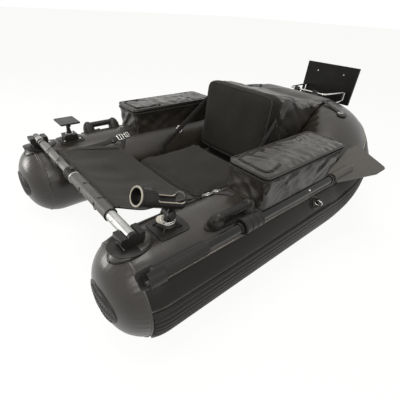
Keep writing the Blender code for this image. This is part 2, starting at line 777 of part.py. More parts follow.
def build_spreader_bar():
    """Telescopic bar: outer tube, sliding inner tube, twist clamp, sleeve and end plugs."""
    clamp_end = BAR_CLAMP_LENGTH / 2
    outer_start = clamp_end + GAP
    outer_end = BAR_HALF_LENGTH - BAR_PLUG_LENGTH - GAP
    wall = BAR_WALL_RADIUS
    ring("bar_outer_tube", wall, BAR_OUTER_RADIUS, outer_start, outer_end, across(0), "bar_aluminium")
    inner_profile = [
        (0.0, BAR_INNER_OVERLAP),
        (BAR_INNER_RADIUS, BAR_INNER_OVERLAP),
        (BAR_INNER_RADIUS, -outer_end),
        (0.0, -outer_end),
    ]
    turned("bar_inner_tube", inner_profile, across(0), "bar_aluminium")
    clamp = ring(
        "bar_clamp", wall, BAR_CLAMP_RADIUS, -clamp_end, clamp_end, across(0), "black_plastic"
    )
    lug = box(
        "clamp_lug",
        (BAR_CLAMP_LUG, BAR_CLAMP_LUG, BAR_LUG_LENGTH),
        across(0) @ Matrix.Translation((0, BAR_CLAMP_RADIUS, 0)),
        "black_plastic",
    )
    join(clamp, lug)
    ring(
        "bar_sleeve", BAR_OUTER_RADIUS + GAP, BAR_SLEEVE_RADIUS, outer_start, BAR_SLEEVE_END,
        across(0), "bar_grey",
    )
    stem = BAR_INNER_RADIUS - GAP
    plug = [
        (0.0, BAR_HALF_LENGTH),
        (BAR_OUTER_RADIUS, BAR_HALF_LENGTH),
        (BAR_OUTER_RADIUS, outer_end + GAP),
        (stem, outer_end + GAP),
        (stem, outer_end - BAR_PLUG_STEM),
        (0.0, outer_end - BAR_PLUG_STEM),
    ]
    turned("bar_plug_right", plug, across(0), "black_plastic")
    cap = [
        (0.0, -outer_end - GAP),
        (BAR_INNER_RADIUS, -outer_end - GAP),
        (BAR_INNER_RADIUS, -BAR_HALF_LENGTH),
        (0.0, -BAR_HALF_LENGTH),
    ]
    turned("bar_plug_left", cap, across(0), "black_plastic")


def padded_block(name, size, crown, pinch, matrix, slot):
    """Add a cushion: a coarse cage, crowned on top and drawn in at the sides, then smoothed."""
    shape = bmesh.new()
    bmesh.ops.create_cube(shape, size=2.0)
    bmesh.ops.subdivide_edges(shape, edges=shape.edges[:], cuts=CUSHION_CUTS, use_grid_fill=True)
    for corner in shape.verts:
        u, v, w = corner.co
        bulge = (1 - u * u) * (1 - v * v)
        draw_x = pinch * (1 - v * v) * abs(u) * u
        draw_y = pinch * (1 - u * u) * abs(v) * v
        x = u * size[0] / 2 - draw_x
        y = v * size[1] / 2 - draw_y
        z = w * size[2] / 2 + (crown * bulge if w > 0 else 0.0)
        corner.co = (x, y, z)
    mesh = bpy.data.meshes.new(name)
    shape.to_mesh(mesh)
    shape.free()
    obj = place(bpy.data.objects.new(name, mesh), matrix, slot)
    obj.data.shade_smooth()
    soften = obj.modifiers.new("Soften", "SUBSURF")
    soften.levels = 1
    soften.render_levels = 1
    return obj


def back_matrix():
    """Frame of the seat back: origin on its hinge line, local Y up the back, local Z forward."""
    lean = Matrix.Rotation(radians(-BACK_LEAN), 4, "X")
    upright = frame((0, 0, 0), (1, 0, 0), (0, 0, 1), (0, -1, 0))
    return Matrix.Translation((0, BACK_PIVOT_Y, BACK_PIVOT_Z)) @ lean @ upright


def build_seat():
    """Fabric deck between the tubes, seat cushion and fold-down back."""
    half = SIDE_X - TUBE_RADIUS - PATCH_GAP
    middle = Matrix.Translation((0, DECK_FRONT_Y + DECK_LENGTH / 2, AXIS_Z))
    deck = box("seat_deck", (2 * half, DECK_LENGTH, DECK_THICKNESS), middle, "seat_fabric")
    cut(deck, hull_sweep("deck_round", stern_route(), "seat_fabric", PATCH_GAP))
    wide = 2 * (half - CUSHION_SIDE_GAP)
    seat = Matrix.Translation(
        (0, (CUSHION_FRONT_Y + CUSHION_BACK_Y) / 2, DECK_TOP + GAP + CUSHION_THICKNESS / 2)
    )
    padded_block(
        "seat_cushion", (wide, CUSHION_LENGTH, CUSHION_THICKNESS), CUSHION_CROWN, CUSHION_PINCH,
        seat, "seat_fabric",
    )
    block = padded_block(
        "seat_back", (BACK_WIDTH, BACK_HEIGHT, BACK_THICKNESS), BACK_CROWN, BACK_PINCH,
        back_matrix(), "back_fabric",
    )
    shift = Matrix.Translation((0, BACK_HEIGHT / 2 - BACK_LIFT / 2, -BACK_THICKNESS / 2))
    block.data.transform(shift)


def back_line(height, depth):
    """Return the (y, z) place of a point of the leaning back, behind its front face."""
    lean = radians(BACK_LEAN)
    y = BACK_PIVOT_Y + height * sin(lean) + depth * cos(lean)
    z = BACK_PIVOT_Z + height * cos(lean) - depth * sin(lean)
    return y, z


def build_rear_bag():
    """Soft storage bag that fills the well behind the seat back and drapes over the stern."""
    behind = BACK_THICKNESS + REAR_BAG_GAP
    top_height = (REAR_BAG_TOP - BACK_PIVOT_Z) / cos(radians(BACK_LEAN))
    front_low = back_line((DECK_TOP - BACK_PIVOT_Z) / cos(radians(BACK_LEAN)), behind)
    front_top = back_line(top_height, behind)
    stern_top = STERN_Z + STERN_RADIUS
    outline = [
        (front_low[0], DECK_TOP + GAP),
        (STERN_Y - STERN_RADIUS / 2, DECK_TOP + GAP),
        (STERN_Y, STERN_Z),
        (STERN_Y, stern_top + REAR_BAG_DRAPE / 2),
        (STERN_Y - STERN_RADIUS / 3, stern_top + REAR_BAG_DRAPE),
        ((STERN_Y + front_top[0]) / 2, (stern_top + front_top[1] + REAR_BAG_DRAPE) / 2),
        (front_top[0] + REAR_BAG_DRAPE, front_top[1]),
        (front_top[0], front_top[1] - REAR_BAG_DRAPE / 2),
    ]
    bag = plate("rear_bag", outline, REAR_BAG_WIDTH, across(0, 0, 0), "bag_nylon")
    tool = hull_sweep("rear_bag_seat", stern_route(), "bag_nylon", PATCH_GAP)
    cut(bag, tool)


def wall_x(z):
    """Return how far the inner wall of the right tube lies from the middle at a height."""
    drop = z - AXIS_Z
    if abs(drop) >= TUBE_RADIUS:
        return SIDE_X
    return SIDE_X - sqrt(TUBE_RADIUS**2 - drop**2)


def build_apron():
    """Fabric sheet that hangs from behind the bar down to the front of the seat."""
    start = (BAR_Y + BAR_CLAMP_RADIUS + BAR_CLAMP_LUG / 2 + APRON_BAR_GAP, BAR_Z - APRON_DROP)
    end = (DECK_FRONT_Y - APRON_THICKNESS / 2, AXIS_Z)
    shape = bmesh.new()
    bmesh.ops.create_grid(
        shape, x_segments=APRON_COLUMNS, y_segments=APRON_ROWS, size=1.0, matrix=Matrix.Identity(4)
    )
    for corner in shape.verts:
        across_share = corner.co.x
        along = (corner.co.y + 1) / 2
        y = start[0] + (end[0] - start[0]) * along
        z = start[1] + (end[1] - start[1]) * along
        z -= APRON_SAG * 4 * along * (1 - along) * (1 - across_share**2)
        wave = sin(3 * pi * across_share) * sin(pi * along)
        z += APRON_THICKNESS * 2 * wave
        edge_z = start[1] + (end[1] - start[1]) * along
        half = min(APRON_HALF_WIDTH, wall_x(edge_z) - APRON_THICKNESS - APRON_WALL_GAP)
        corner.co = (across_share * half, y, z)
    mesh = bpy.data.meshes.new("apron")
    shape.to_mesh(mesh)
    shape.free()
    sheet = place(bpy.data.objects.new("apron", mesh), Matrix.Identity(4), "apron_fabric")
    sheet.data.shade_smooth()
    thick = sheet.modifiers.new("Thickness", "SOLIDIFY")
    thick.thickness = APRON_THICKNESS
    thick.offset = 0.0


def build_side_bags():
    """Zipped storage bag on each side tube: open shell, hinged lid and sliding puller."""
    height = BAG_TOP_Z - BAG_BASE_Z
    outline = rounded_outline(BAG_WIDTH, BAG_LENGTH, BAG_CORNER)
    inside = rounded_outline(
        BAG_WIDTH - 2 * BAG_WALL, BAG_LENGTH - 2 * BAG_WALL, BAG_CORNER - BAG_WALL
    )
    middle = Matrix.Translation((BAG_MID_X, BAG_MID_Y, (BAG_BASE_Z + BAG_TOP_Z) / 2))
    body = plate("bag_right_body", outline, height, middle, "bag_nylon")
    depth = BAG_TOP_Z - BAG_FLOOR_Z + CUT_OVERRUN
    hollow_at = Matrix.Translation((BAG_MID_X, BAG_MID_Y, BAG_FLOOR_Z + depth / 2))
    cut(body, plate("bag_hollow", inside, depth, hollow_at, "bag_nylon"))
    seat = TUBE_AXIS @ Matrix.Translation((0, 0, -BAG_MID_Y))
    cut(
        body,
        cylinder(
            "bag_round", TUBE_RADIUS + BAND_GAP, 2 * BAG_LENGTH, seat, "bag_nylon", PATCH_STEPS
        ),
    )
    cut(body, hull_sweep("bag_stern_round", stern_route(), "bag_nylon", PATCH_GAP))
    mirrored(body, "bag_left_body")
    hinge = (BAG_INNER_X, BAG_MID_Y, BAG_TOP_Z + GAP)
    lid = plate(
        "bag_right_lid", outline, BAG_LID_THICKNESS, Matrix.Translation(hinge), "bag_nylon"
    )
    lid.data.transform(Matrix.Translation((BAG_WIDTH / 2, 0, BAG_LID_THICKNESS / 2)))
    crown_lid(lid)
    mirrored(lid, "bag_left_lid")
    front = BAG_MID_Y - BAG_LENGTH / 2 + BAG_CORNER + PULLER_INSET
    outside = BAG_INNER_X + BAG_WIDTH + GAP + PULLER_THICKNESS / 2
    at = Matrix.Translation((outside, front, BAG_TOP_Z - PULLER_HEIGHT))
    size = (PULLER_THICKNESS, PULLER_LENGTH, PULLER_HEIGHT)
    puller = box("bag_right_puller", size, at, "stainless", PULLER_THICKNESS / 4)
    mirrored(puller, "bag_left_puller")


def crown_lid(lid):
    """Raise the middle of a bag's lid."""
    shape = bmesh.new()
    shape.from_mesh(lid.data)
    top = [face for face in shape.faces if face.normal.z > 0.5]
    rim = bmesh.ops.inset_region(shape, faces=top, thickness=BAG_CORNER)
    raised = {v for face in top for v in face.verts}
    for corner in raised - {v for face in rim["faces"] for v in face.verts if face not in top}:
        corner.co.z += BAG_LID_CROWN
    inner = {v for face in top for v in face.verts}
    for corner in inner:
        corner.co.z = BAG_LID_THICKNESS + BAG_LID_CROWN
    shape.to_mesh(lid.data)
    shape.free()


def build_back_straps():
    """Webbing from each side of the seat back to the inner side of the tube."""
    height = BACK_HEIGHT - BACK_STRAP_DROP
    top_y, top_z = back_line(height, BACK_THICKNESS / 2)
    share = (height + BACK_LIFT / 2) / (BACK_HEIGHT / 2) - 1
    side_x = BACK_WIDTH / 2 - BACK_PINCH * (1 - share**2)
    foot_z = AXIS_Z + BACK_STRAP_FOOT
    foot_y = top_y - BACK_STRAP_REACH
    top = Vector((side_x + BACK_STRAP_GAP, top_y, top_z))
    foot = Vector((wall_x(foot_z) + CUT_OVERRUN, foot_y, foot_z))
    run = top - foot
    along = run.normalized()
    side = along.cross(Vector((0, 0, 1))).normalized()
    flat = along.cross(side).normalized()
    seat = frame(foot + run / 2, side, flat, along)
    size = (STRAP_THICKNESS, STRAP_WIDTH, run.length)
    strap = box("back_strap_right", size, seat, "webbing")
    tube = cylinder(
        "strap_round", TUBE_RADIUS + PATCH_GAP, HULL_WIDTH,
        TUBE_AXIS @ Matrix.Translation((0, 0, -foot_y)), "webbing", PATCH_STEPS,
    )
    mirrored(cut(strap, tube), "back_strap_left")


def build_side_straps():
    """Webbing with a buckle along the inner shoulder of each tube, in front of the bag."""
    start = TIP_Y + SIDE_STRAP_FRONT
    outline = rounded_outline(STRAP_WIDTH, SIDE_STRAP_LENGTH, STRAP_THICKNESS)
    seat = on_tube(start + SIDE_STRAP_LENGTH / 2, SIDE_STRAP_ANGLE, TUBE_RADIUS)
    buckle_y = start + SIDE_STRAP_LENGTH * BUCKLE_PLACE_SHARE
    at = on_tube(buckle_y, SIDE_STRAP_ANGLE, TUBE_RADIUS + PATCH_GAP + BUCKLE_THICKNESS / 2)
    size = (BUCKLE_WIDTH, BUCKLE_LENGTH, BUCKLE_THICKNESS)
    buckle = box("side_buckle", size, at, "webbing", BUCKLE_THICKNESS / 4)
    strap = seated("side_strap_right", outline, seat, [buckle], "webbing")
    mirrored(strap, "side_strap_left")


def blade_outline():
    """Return the blade's outline: a taper from the socket to a full width with round corners."""
    start = CORNER_Y - BLADE_START_BEFORE_CORNER - OARLOCK_Y
    full = CORNER_Y + BLADE_FULL_PAST_CORNER - OARLOCK_Y
    end = CORNER_Y + BLADE_END_PAST_CORNER - OARLOCK_Y
    root, half, corner = BLADE_ROOT_HALF_WIDTH, BLADE_HALF_WIDTH, BLADE_CORNER
    right = [(root, start), (half, full)]
    right += arc((half - corner, end - corner), corner, 0, 90, 4)
    left = [(-x, y) for x, y in reversed(right)]
    return right + left


def oar_frame(place, y):
    """Frame on the line of an oar: local Y astern, local Z radial."""
    angle, standoff, _ = place
    rise = Matrix.Rotation(radians(OAR_RISE), 4, "X")
    along = Matrix.Translation((0, y - OARLOCK_Y, 0))
    return on_tube(OARLOCK_Y, angle, TUBE_RADIUS + standoff) @ rise @ along


def along_oar(place):
    """Frame at the oarlock on the line of an oar, its local Z towards the bow."""
    return oar_frame(place, OARLOCK_Y) @ Matrix.Rotation(pi / 2, 4, "X")


def blade_frame(place, y):
    """Frame on the line of an oar in the plane of its blade."""
    angle, _, tilt = place
    return oar_frame(place, y) @ Matrix.Rotation(radians(tilt + angle - RIGHT_ANGLE), 4, "Y")


def name_side(piece, name, side):
    """Name a piece that was made on the right; a left one is swapped for its mirror image."""
    if side == "left":
        mirrored(piece, name)
        bpy.data.objects.remove(piece)
    else:
        piece.name = name
        piece.data.name = name


def oar_grip(place):
    """The rubber grip on the front end of an oar's shaft, closed at the front."""
    front = OARLOCK_Y - OAR_FRONT_Y
    bore = OAR_SHAFT_RADIUS + GAP
    profile = [
        (0.0, front),
        (OAR_GRIP_END_RADIUS, front),
        (OAR_GRIP_RADIUS, front - OAR_GRIP_CAP / 2),
        (OAR_GRIP_RADIUS, front - OAR_GRIP_LENGTH),
        (bore, front - OAR_GRIP_LENGTH),
        (bore, front - OAR_GRIP_CAP),
        (0.0, front - OAR_GRIP_CAP),
    ]
    return smooth(turned("grip", profile, along_oar(place), "oar_grip"))


def oar_shaft(place, back):
    """The shaft of an oar, from inside its grip to inside its blade's socket."""
    front = OAR_FRONT_Y + OAR_GRIP_CAP + GAP
    profile = [
        (0.0, OARLOCK_Y - front),
        (OAR_SHAFT_RADIUS, OARLOCK_Y - front),
        (OAR_SHAFT_RADIUS, OARLOCK_Y - back),
        (0.0, OARLOCK_Y - back),
    ]
    return smooth(turned("shaft", profile, along_oar(place), "oar_shaft"))


def oar_blade(place, shaft_back):
    """The blade of an oar with the socket for its shaft and a rib behind the socket."""
    turn = Matrix.Rotation(pi / 2, 4, "X")
    lie = blade_frame(place, OARLOCK_Y)
    blade = plate("blade", blade_outline(), BLADE_THICKNESS, lie, "blade_plastic")
    socket_at = blade_frame(place, shaft_back) @ turn
    join(blade, cylinder(
        "socket", OAR_SOCKET_RADIUS, OAR_SOCKET_LENGTH, socket_at, "blade_plastic"
    ))
    half = BLADE_RIB_LENGTH / 2
    profile = [
        (0.0, half + CUT_OVERRUN),
        (BLADE_RIB_RADIUS, half + CUT_OVERRUN),
        (BLADE_THICKNESS / 2, -half),
        (0.0, -half),
    ]
    rib_at = blade_frame(place, shaft_back + OAR_SOCKET_LENGTH / 2 + half) @ turn
    join(blade, turned("rib", profile, rib_at, "blade_plastic", steps=12))
    depth = OAR_SOCKET_LENGTH / 2 + GAP + CUT_OVERRUN
    bore_at = blade_frame(place, shaft_back + GAP - depth / 2) @ turn
    cut(blade, cylinder("bore", OAR_SHAFT_RADIUS + GAP, depth, bore_at, "blade_plastic"))
    return blade


def build_oars(place, side):
    """Grip, shaft and blade of the oar of one side."""
    shaft_back = CORNER_Y - OAR_SHAFT_END_BEFORE_CORNER
    name_side(oar_grip(place), "oar_" + side + "_grip", side)
    name_side(oar_shaft(place, shaft_back), "oar_" + side + "_shaft", side)
    name_side(oar_blade(place, shaft_back), "oar_" + side + "_blade", side)


def build_oarlock(place, side):
    """A sleeve round one oar, on a pin that turns in a boss on the tube."""
    angle, standoff, _ = place
    seat = on_tube(OARLOCK_Y, angle, TUBE_RADIUS + standoff)
    half = OARLOCK_LENGTH / 2
    sleeve = ring(
        "sleeve", OAR_SHAFT_RADIUS + GAP, OARLOCK_RADIUS, -half, half, along_oar(place),
        "black_plastic",
    )
    boss_top = standoff - OARLOCK_RADIUS - OARLOCK_NECK
    pin_low = OARLOCK_PIN_FLOOR - standoff
    pin_high = -OAR_SHAFT_RADIUS - GAP - (OARLOCK_RADIUS - OAR_SHAFT_RADIUS) / 3
    pin_at = seat @ Matrix.Translation((0, 0, (pin_low + pin_high) / 2))
    join(sleeve, cylinder("pin", OARLOCK_PIN_RADIUS, pin_high - pin_low, pin_at, "black_plastic"))
    name_side(sleeve, "oarlock_" + side, side)
    foot = on_tube(OARLOCK_Y, angle, TUBE_RADIUS)
    profile = [
        (0.0, boss_top),
        (OARLOCK_BOSS_RADIUS, boss_top),
        (OARLOCK_BOSS_FOOT_RADIUS, 0.0),
        (0.0, 0.0),
    ]
    boss = turned("boss", profile, foot, "black_plastic")
    outline = oval_outline(2 * OARLOCK_PATCH_RADIUS, 2 * OARLOCK_PATCH_RADIUS, ROUND_STEPS)
    base = seated("base", outline, foot, [boss], "black_plastic")
    depth = boss_top - OARLOCK_PIN_FLOOR + GAP
    bore_at = foot @ Matrix.Translation((0, 0, boss_top - depth / 2 + CUT_OVERRUN / 2))
    radius = OARLOCK_PIN_RADIUS + GAP
    cut(base, cylinder("pin_bore", radius, depth + CUT_OVERRUN, bore_at, "black_plastic"))
    name_side(base, "oarlock_base_" + side, side)


def build_oar_clip(place, side):
    """An open clip on the tube that holds one oar's grip, open up and inboard."""
    angle, standoff, _ = place
    y = TIP_Y + CLIP_FROM_TIP
    foot = standoff + (y - OARLOCK_Y) * sin(radians(OAR_RISE)) - PATCH_GAP - PATCH_THICKNESS / 2
    bore = OAR_GRIP_RADIUS + 2 * GAP
    outer = bore + CLIP_WALL
    reach = CLIP_REACH
    points = [(-reach, bore)]
    points += arc((0, 0), bore, 90, -90, 12)
    points += [(-reach, -bore), (-reach, -foot), (outer / 2, -foot)]
    points += arc((0, 0), outer, -60, 90, 12)
    points += [(-reach, outer)]
    turn = Matrix.Rotation(pi / 2, 4, "X")
    hook = plate("hook", points, CLIP_LENGTH, oar_frame(place, y) @ turn, "black_plastic")
    outline = rounded_outline(CLIP_PATCH_WIDTH, CLIP_PATCH_LENGTH, SQUARE_PATCH_CORNER)
    seat = on_tube(y, angle, TUBE_RADIUS)
    name_side(seated("clip", outline, seat, [hook], "black_plastic"), "oar_clip_" + side, side)


def build_handles():
    """A carrying handle on each tube: a rubber pad with two hoods and a round grip between."""
    middle = TIP_Y + HANDLE_FROM_TIP
    seat = on_tube(middle, HANDLE_ANGLE, TUBE_RADIUS)
    hoods = []
    for end in (-1, 1):
        shift = end * (HANDLE_LENGTH / 2 - HANDLE_HOOD_LENGTH * HOOD_PLACE_SHARE)
        hoods.append(hood_solid("hood", seat @ Matrix.Translation((0, shift, PATCH_THICKNESS))))
    outline = oval_outline(HANDLE_WIDTH, HANDLE_LENGTH)
    pad = seated("handle_right_pad", outline, seat, hoods, "patch_rubber")
    turn = Matrix.Rotation(pi / 2, 4, "X")
    grip_at = seat @ Matrix.Translation((0, 0, HANDLE_GRIP_LIFT)) @ turn
    radius = HANDLE_GRIP_RADIUS + GAP
    length = HANDLE_GRIP_LENGTH + 2 * GAP
    cut(pad, cylinder("grip_bore", radius, length, grip_at, "patch_rubber"))
    grip = cylinder(
        "handle_right_grip", HANDLE_GRIP_RADIUS, HANDLE_GRIP_LENGTH, grip_at, "black_plastic"
    )
    mirrored(pad, "handle_left_pad")
    mirrored(grip, "handle_left_grip")


def hood_solid(name, at):
    """Return the rounded hood that holds one end of a handle's grip."""
    shape = bmesh.new()
    bmesh.ops.create_uvsphere(shape, u_segments=14, v_segments=8, radius=1.0)
    half = (HANDLE_HOOD_WIDTH / 2, HANDLE_HOOD_LENGTH / 2, HANDLE_HOOD_HEIGHT)
    bmesh.ops.transform(shape, matrix=Matrix.Diagonal((*half, 1.0)), verts=shape.verts)
    mesh = bpy.data.meshes.new(name)
    shape.to_mesh(mesh)
    shape.free()
    return place(bpy.data.objects.new(name, mesh), at, "patch_rubber")


def build_finder_mount():
    """Sonar mount on the left tube: base, swivelling post and tilting plate."""
    square = rounded_outline(SQUARE_PATCH_WIDTH, SQUARE_PATCH_LENGTH, SQUARE_PATCH_CORNER)
    height = PATCH_GAP + PATCH_THICKNESS + FINDER_BASE_HEIGHT
    foot = on_tube(FINDER_Y, 90.0, TUBE_RADIUS)
    size = (FINDER_BASE_WIDTH, FINDER_BASE_LENGTH, height)
    block = box("block", size, foot @ Matrix.Translation((0, 0, height / 2)), "black_plastic")
    source = seated("finder_base_source", square, foot, [block], "black_plastic")
    mirrored(source, "finder_base")
    bpy.data.objects.remove(source, do_unlink=True)
    post_low = AXIS_Z + TUBE_RADIUS + height + GAP
    pivot = post_low + FINDER_POST_HEIGHT
    profile = [
        (0.0, FINDER_POST_HEIGHT),
        (FINDER_HEAD_RADIUS, FINDER_POST_HEIGHT),
        (FINDER_HEAD_RADIUS, FINDER_POST_HEIGHT * FINDER_NECK_HEIGHTS_SHARES[1]),
        (FINDER_WAIST_RADIUS, FINDER_POST_HEIGHT * FINDER_NECK_HEIGHTS_SHARES[0]),
        (FINDER_POST_RADIUS, 0.0),
        (0.0, 0.0),
    ]
    stand = Matrix.Translation((-SIDE_X, FINDER_Y, post_low))
    post = turned("finder_post", profile, stand, "black_plastic")
    barrel = cylinder(
        "finder_head", FINDER_HEAD_RADIUS, FINDER_HEAD_WIDTH, across(-SIDE_X, FINDER_Y, pivot),
        "black_plastic",
    )
    join(post, barrel)
    plate_low = FINDER_PLATE_LIFT
    top = Matrix.Translation((-SIDE_X, FINDER_Y, pivot))
    outline = rounded_outline(FINDER_PLATE_WIDTH, FINDER_PLATE_LENGTH, FINDER_PLATE_THICKNESS)
    head = plate("finder_plate", outline, FINDER_PLATE_THICKNESS, top, "black_plastic")
    head.data.transform(Matrix.Translation((0, 0, plate_low + FINDER_PLATE_THICKNESS / 2)))
    ear_x = FINDER_HEAD_WIDTH / 2 + GAP + FINDER_EAR_THICKNESS / 2
    ear_top = plate_low + FINDER_PLATE_THICKNESS / 2
    ear_height = ear_top + FINDER_HEAD_RADIUS
    for side in (-1, 1):
        ear_at = top @ Matrix.Translation((side * ear_x, 0, ear_top - ear_height / 2))
        size = (FINDER_EAR_THICKNESS, 2 * FINDER_HEAD_RADIUS, ear_height)
        join(head, box("finder_ear", size, ear_at, "black_plastic"))


def rod_matrix():
    """Frame on the rod holder's tilt pivot: local Z along the barrel towards its mouth."""
    base_top = AXIS_Z + TUBE_RADIUS + PATCH_GAP + PATCH_THICKNESS + ROD_BASE_HEIGHT
    pivot = Matrix.Translation((SIDE_X, ROD_Y, base_top + GAP + ROD_POST_HEIGHT))
    return pivot @ Matrix.Rotation(pi / 2 - radians(ROD_TILT), 4, "X")


def build_rod_holder():
    """Rod holder on the right tube: base, lock ring, swivel post, barrel and knob."""
    square = rounded_outline(SQUARE_PATCH_WIDTH, SQUARE_PATCH_LENGTH, SQUARE_PATCH_CORNER)
    foot = on_tube(ROD_Y, 90.0, TUBE_RADIUS)
    high = PATCH_GAP + PATCH_THICKNESS + ROD_BASE_HEIGHT
    base_profile = [
        (0.0, high),
        (ROD_BASE_TOP_RADIUS, high),
        (ROD_BASE_RADIUS, high / 2),
        (ROD_BASE_RADIUS, 0.0),
        (0.0, 0.0),
    ]
    disc = turned("disc", base_profile, foot, "cream_plastic")
    seated("rod_base", square, foot, [disc], "cream_plastic")
    post_low = AXIS_Z + TUBE_RADIUS + high + GAP
    wire_ring(
        "rod_lock_ring", ROD_RING_RADIUS, ROD_RING_WIRE,
        Matrix.Translation((SIDE_X, ROD_Y, post_low + ROD_RING_WIRE)), "stainless",
    )
    profile = [
        (0.0, ROD_POST_HEIGHT),
        (ROD_NECK_RADIUS, ROD_POST_HEIGHT),
        (ROD_NECK_RADIUS, ROD_POST_HEIGHT / 2),
        (ROD_POST_RADIUS, ROD_POST_HEIGHT / 4),
        (ROD_POST_RADIUS, 0.0),
        (0.0, 0.0),
    ]
    stand = Matrix.Translation((SIDE_X, ROD_Y, post_low))
    post = turned("rod_post", profile, stand, "black_plastic")
    pivot = across(SIDE_X, ROD_Y, post_low + ROD_POST_HEIGHT)
    join(post, cylinder("rod_head", ROD_HEAD_RADIUS, ROD_HEAD_WIDTH, pivot, "black_plastic"))
    build_rod_barrel()
    knob_low = ROD_HEAD_WIDTH / 2 + 2 * GAP + ROD_EAR_THICKNESS
    knob = [
        (0.0, ROD_KNOB_LENGTH),
        (ROD_KNOB_FACE_RADIUS, ROD_KNOB_LENGTH),
        (ROD_KNOB_RADIUS, ROD_KNOB_LENGTH / 2),
        (ROD_KNOB_RADIUS, 0.0),
        (0.0, 0.0),
    ]
    knob_at = pivot @ Matrix.Translation((0, 0, knob_low))
    turned("rod_knob", knob, knob_at, "black_plastic", steps=16)


def build_rod_barrel():
    """The barrel that takes the rod's butt, with its cut-away rear and the two pivot ears."""
    line = rod_matrix()
    lift = Matrix.Translation((0, ROD_AXIS_LIFT, 0))
    barrel = ring(
        "rod_barrel", ROD_BORE_RADIUS, ROD_BARREL_RADIUS, -ROD_BARREL_BACK, ROD_BARREL_FRONT,
        line, "black_plastic",
    )
    bpy.context.view_layer.update()
    mesh = evaluated_mesh(barrel)
    barrel.modifiers.clear()
    mesh.transform(lift)
    barrel.data = mesh
    opening = ROD_BARREL_FRONT - ROD_SOLID_FRONT + ROD_BARREL_BACK
    window_at = line @ Matrix.Translation(
        (0, ROD_AXIS_LIFT + ROD_BARREL_RADIUS, ROD_BARREL_FRONT - ROD_SOLID_FRONT - opening / 2)
    )
    size = (3 * ROD_BARREL_RADIUS, 2 * ROD_BARREL_RADIUS, opening - 2 * ROD_EAR_THICKNESS)
    cut(barrel, box("rod_window", size, window_at, "black_plastic"))
    ear_top = ROD_AXIS_LIFT - ROD_BORE_RADIUS - GAP
    for side in (-1, 1):
        x = side * (ROD_HEAD_WIDTH / 2 + GAP + ROD_EAR_THICKNESS / 2)
        height = ear_top + ROD_HEAD_RADIUS
        at = line @ Matrix.Translation((x, ear_top - height / 2, 0))
        size = (ROD_EAR_THICKNESS, height, 2 * ROD_HEAD_RADIUS)
        ear = box("rod_ear", size, at, "black_plastic")
        join(barrel, ear)


def build_valves():
    """An inflation valve on each side of the stern's back, with a screw cap."""
    foot = on_stern(VALVE_X, VALVE_ANGLE, STERN_RADIUS)
    high = PATCH_GAP + PATCH_THICKNESS + VALVE_HEIGHT
    profile = [
        (0.0, high),
        (VALVE_NECK_RADIUS, high),
        (VALVE_NECK_RADIUS, 0.0),
        (0.0, 0.0),
    ]
    neck = turned("neck", profile, foot, "black_plastic")
    outline = oval_outline(2 * VALVE_RADIUS, 2 * VALVE_RADIUS, ROUND_STEPS)
    body = seated(
        "valve_right", outline, foot, [neck], "black_plastic", STERN_AXIS, STERN_RADIUS
    )
    cap_at = foot @ Matrix.Translation((0, 0, high + GAP))
    cap_profile = [
        (0.0, VALVE_CAP_HEIGHT),
        (VALVE_CAP_FACE_RADIUS, VALVE_CAP_HEIGHT),
        (VALVE_CAP_RADIUS, VALVE_CAP_HEIGHT - VALVE_CAP_EDGE),
        (VALVE_CAP_RADIUS, 0.0),
        (0.0, 0.0),
    ]
    cap = turned("valve_right_cap", cap_profile, cap_at, "black_plastic", steps=16)
    mirrored(body, "valve_left")
    mirrored(cap, "valve_left_cap")


def build_tie_rings():
    """A steel ring held by a tab on its patch, on the outer shoulder of each tube."""
    seat = on_tube(SIDE_RING_Y, SIDE_RING_ANGLE, TUBE_RADIUS)
    lift = PATCH_GAP + PATCH_THICKNESS + RING_WIRE
    loop_at = seat @ Matrix.Translation((0, 0, lift + GAP))
    loop = wire_ring("loop", RING_RADIUS, RING_WIRE, loop_at, "stainless")
    size = (RING_TAB_WIDTH, RING_RADIUS, 2 * lift)
    tab = box("tab", size, seat @ Matrix.Translation((0, RING_RADIUS, lift)), "patch_rubber")
    outline = oval_outline(2 * RING_PATCH_RADIUS, 2 * RING_PATCH_RADIUS, ROUND_STEPS)
    ring_right = seated("tie_ring_right", outline, seat, [tab, loop], "patch_rubber")
    mirrored(ring_right, "tie_ring_left")


def board_matrix():
    """Frame of the motor board: origin at its lower front edge, local Y up, local Z astern."""
    lean = Matrix.Rotation(radians(-BOARD_LEAN), 4, "X")
    upright = frame((0, 0, 0), (-1, 0, 0), (0, 0, 1), (0, 1, 0))
    return Matrix.Translation((0, BOARD_Y, BOARD_BOTTOM)) @ lean @ upright


def frame_route(angle, bolt_height):
    """Return one bent rod of the motor frame: two legs and the bar across the stern."""
    c, s = cos(radians(angle)), sin(radians(angle))
    y = STERN_Y + FRAME_DISTANCE * c
    z = STERN_Z + FRAME_DISTANCE * s
    through = BOARD_THICKNESS + FRAME_ROD_END
    stand = board_matrix()
    half = []
    for depth in (through, -FRAME_SQUARE_END):
        half.append(stand @ Vector((-FRAME_LEG_HALF_WIDTH, bolt_height, depth)))
    corner = Vector((FRAME_HALF_WIDTH, y, z))
    leg = (half[-1] - corner).normalized()
    bend = []
    for k in range(BEND_STEPS + 1):
        share = k / BEND_STEPS
        first = corner + leg * FRAME_BEND
        last = corner - Vector((1, 0, 0)) * FRAME_BEND
        bend.append(first.lerp(corner, share).lerp(corner.lerp(last, share), share))
    right = half + bend
    left = [Vector((-p.x, p.y, p.z)) for p in reversed(right)]
    return right + left


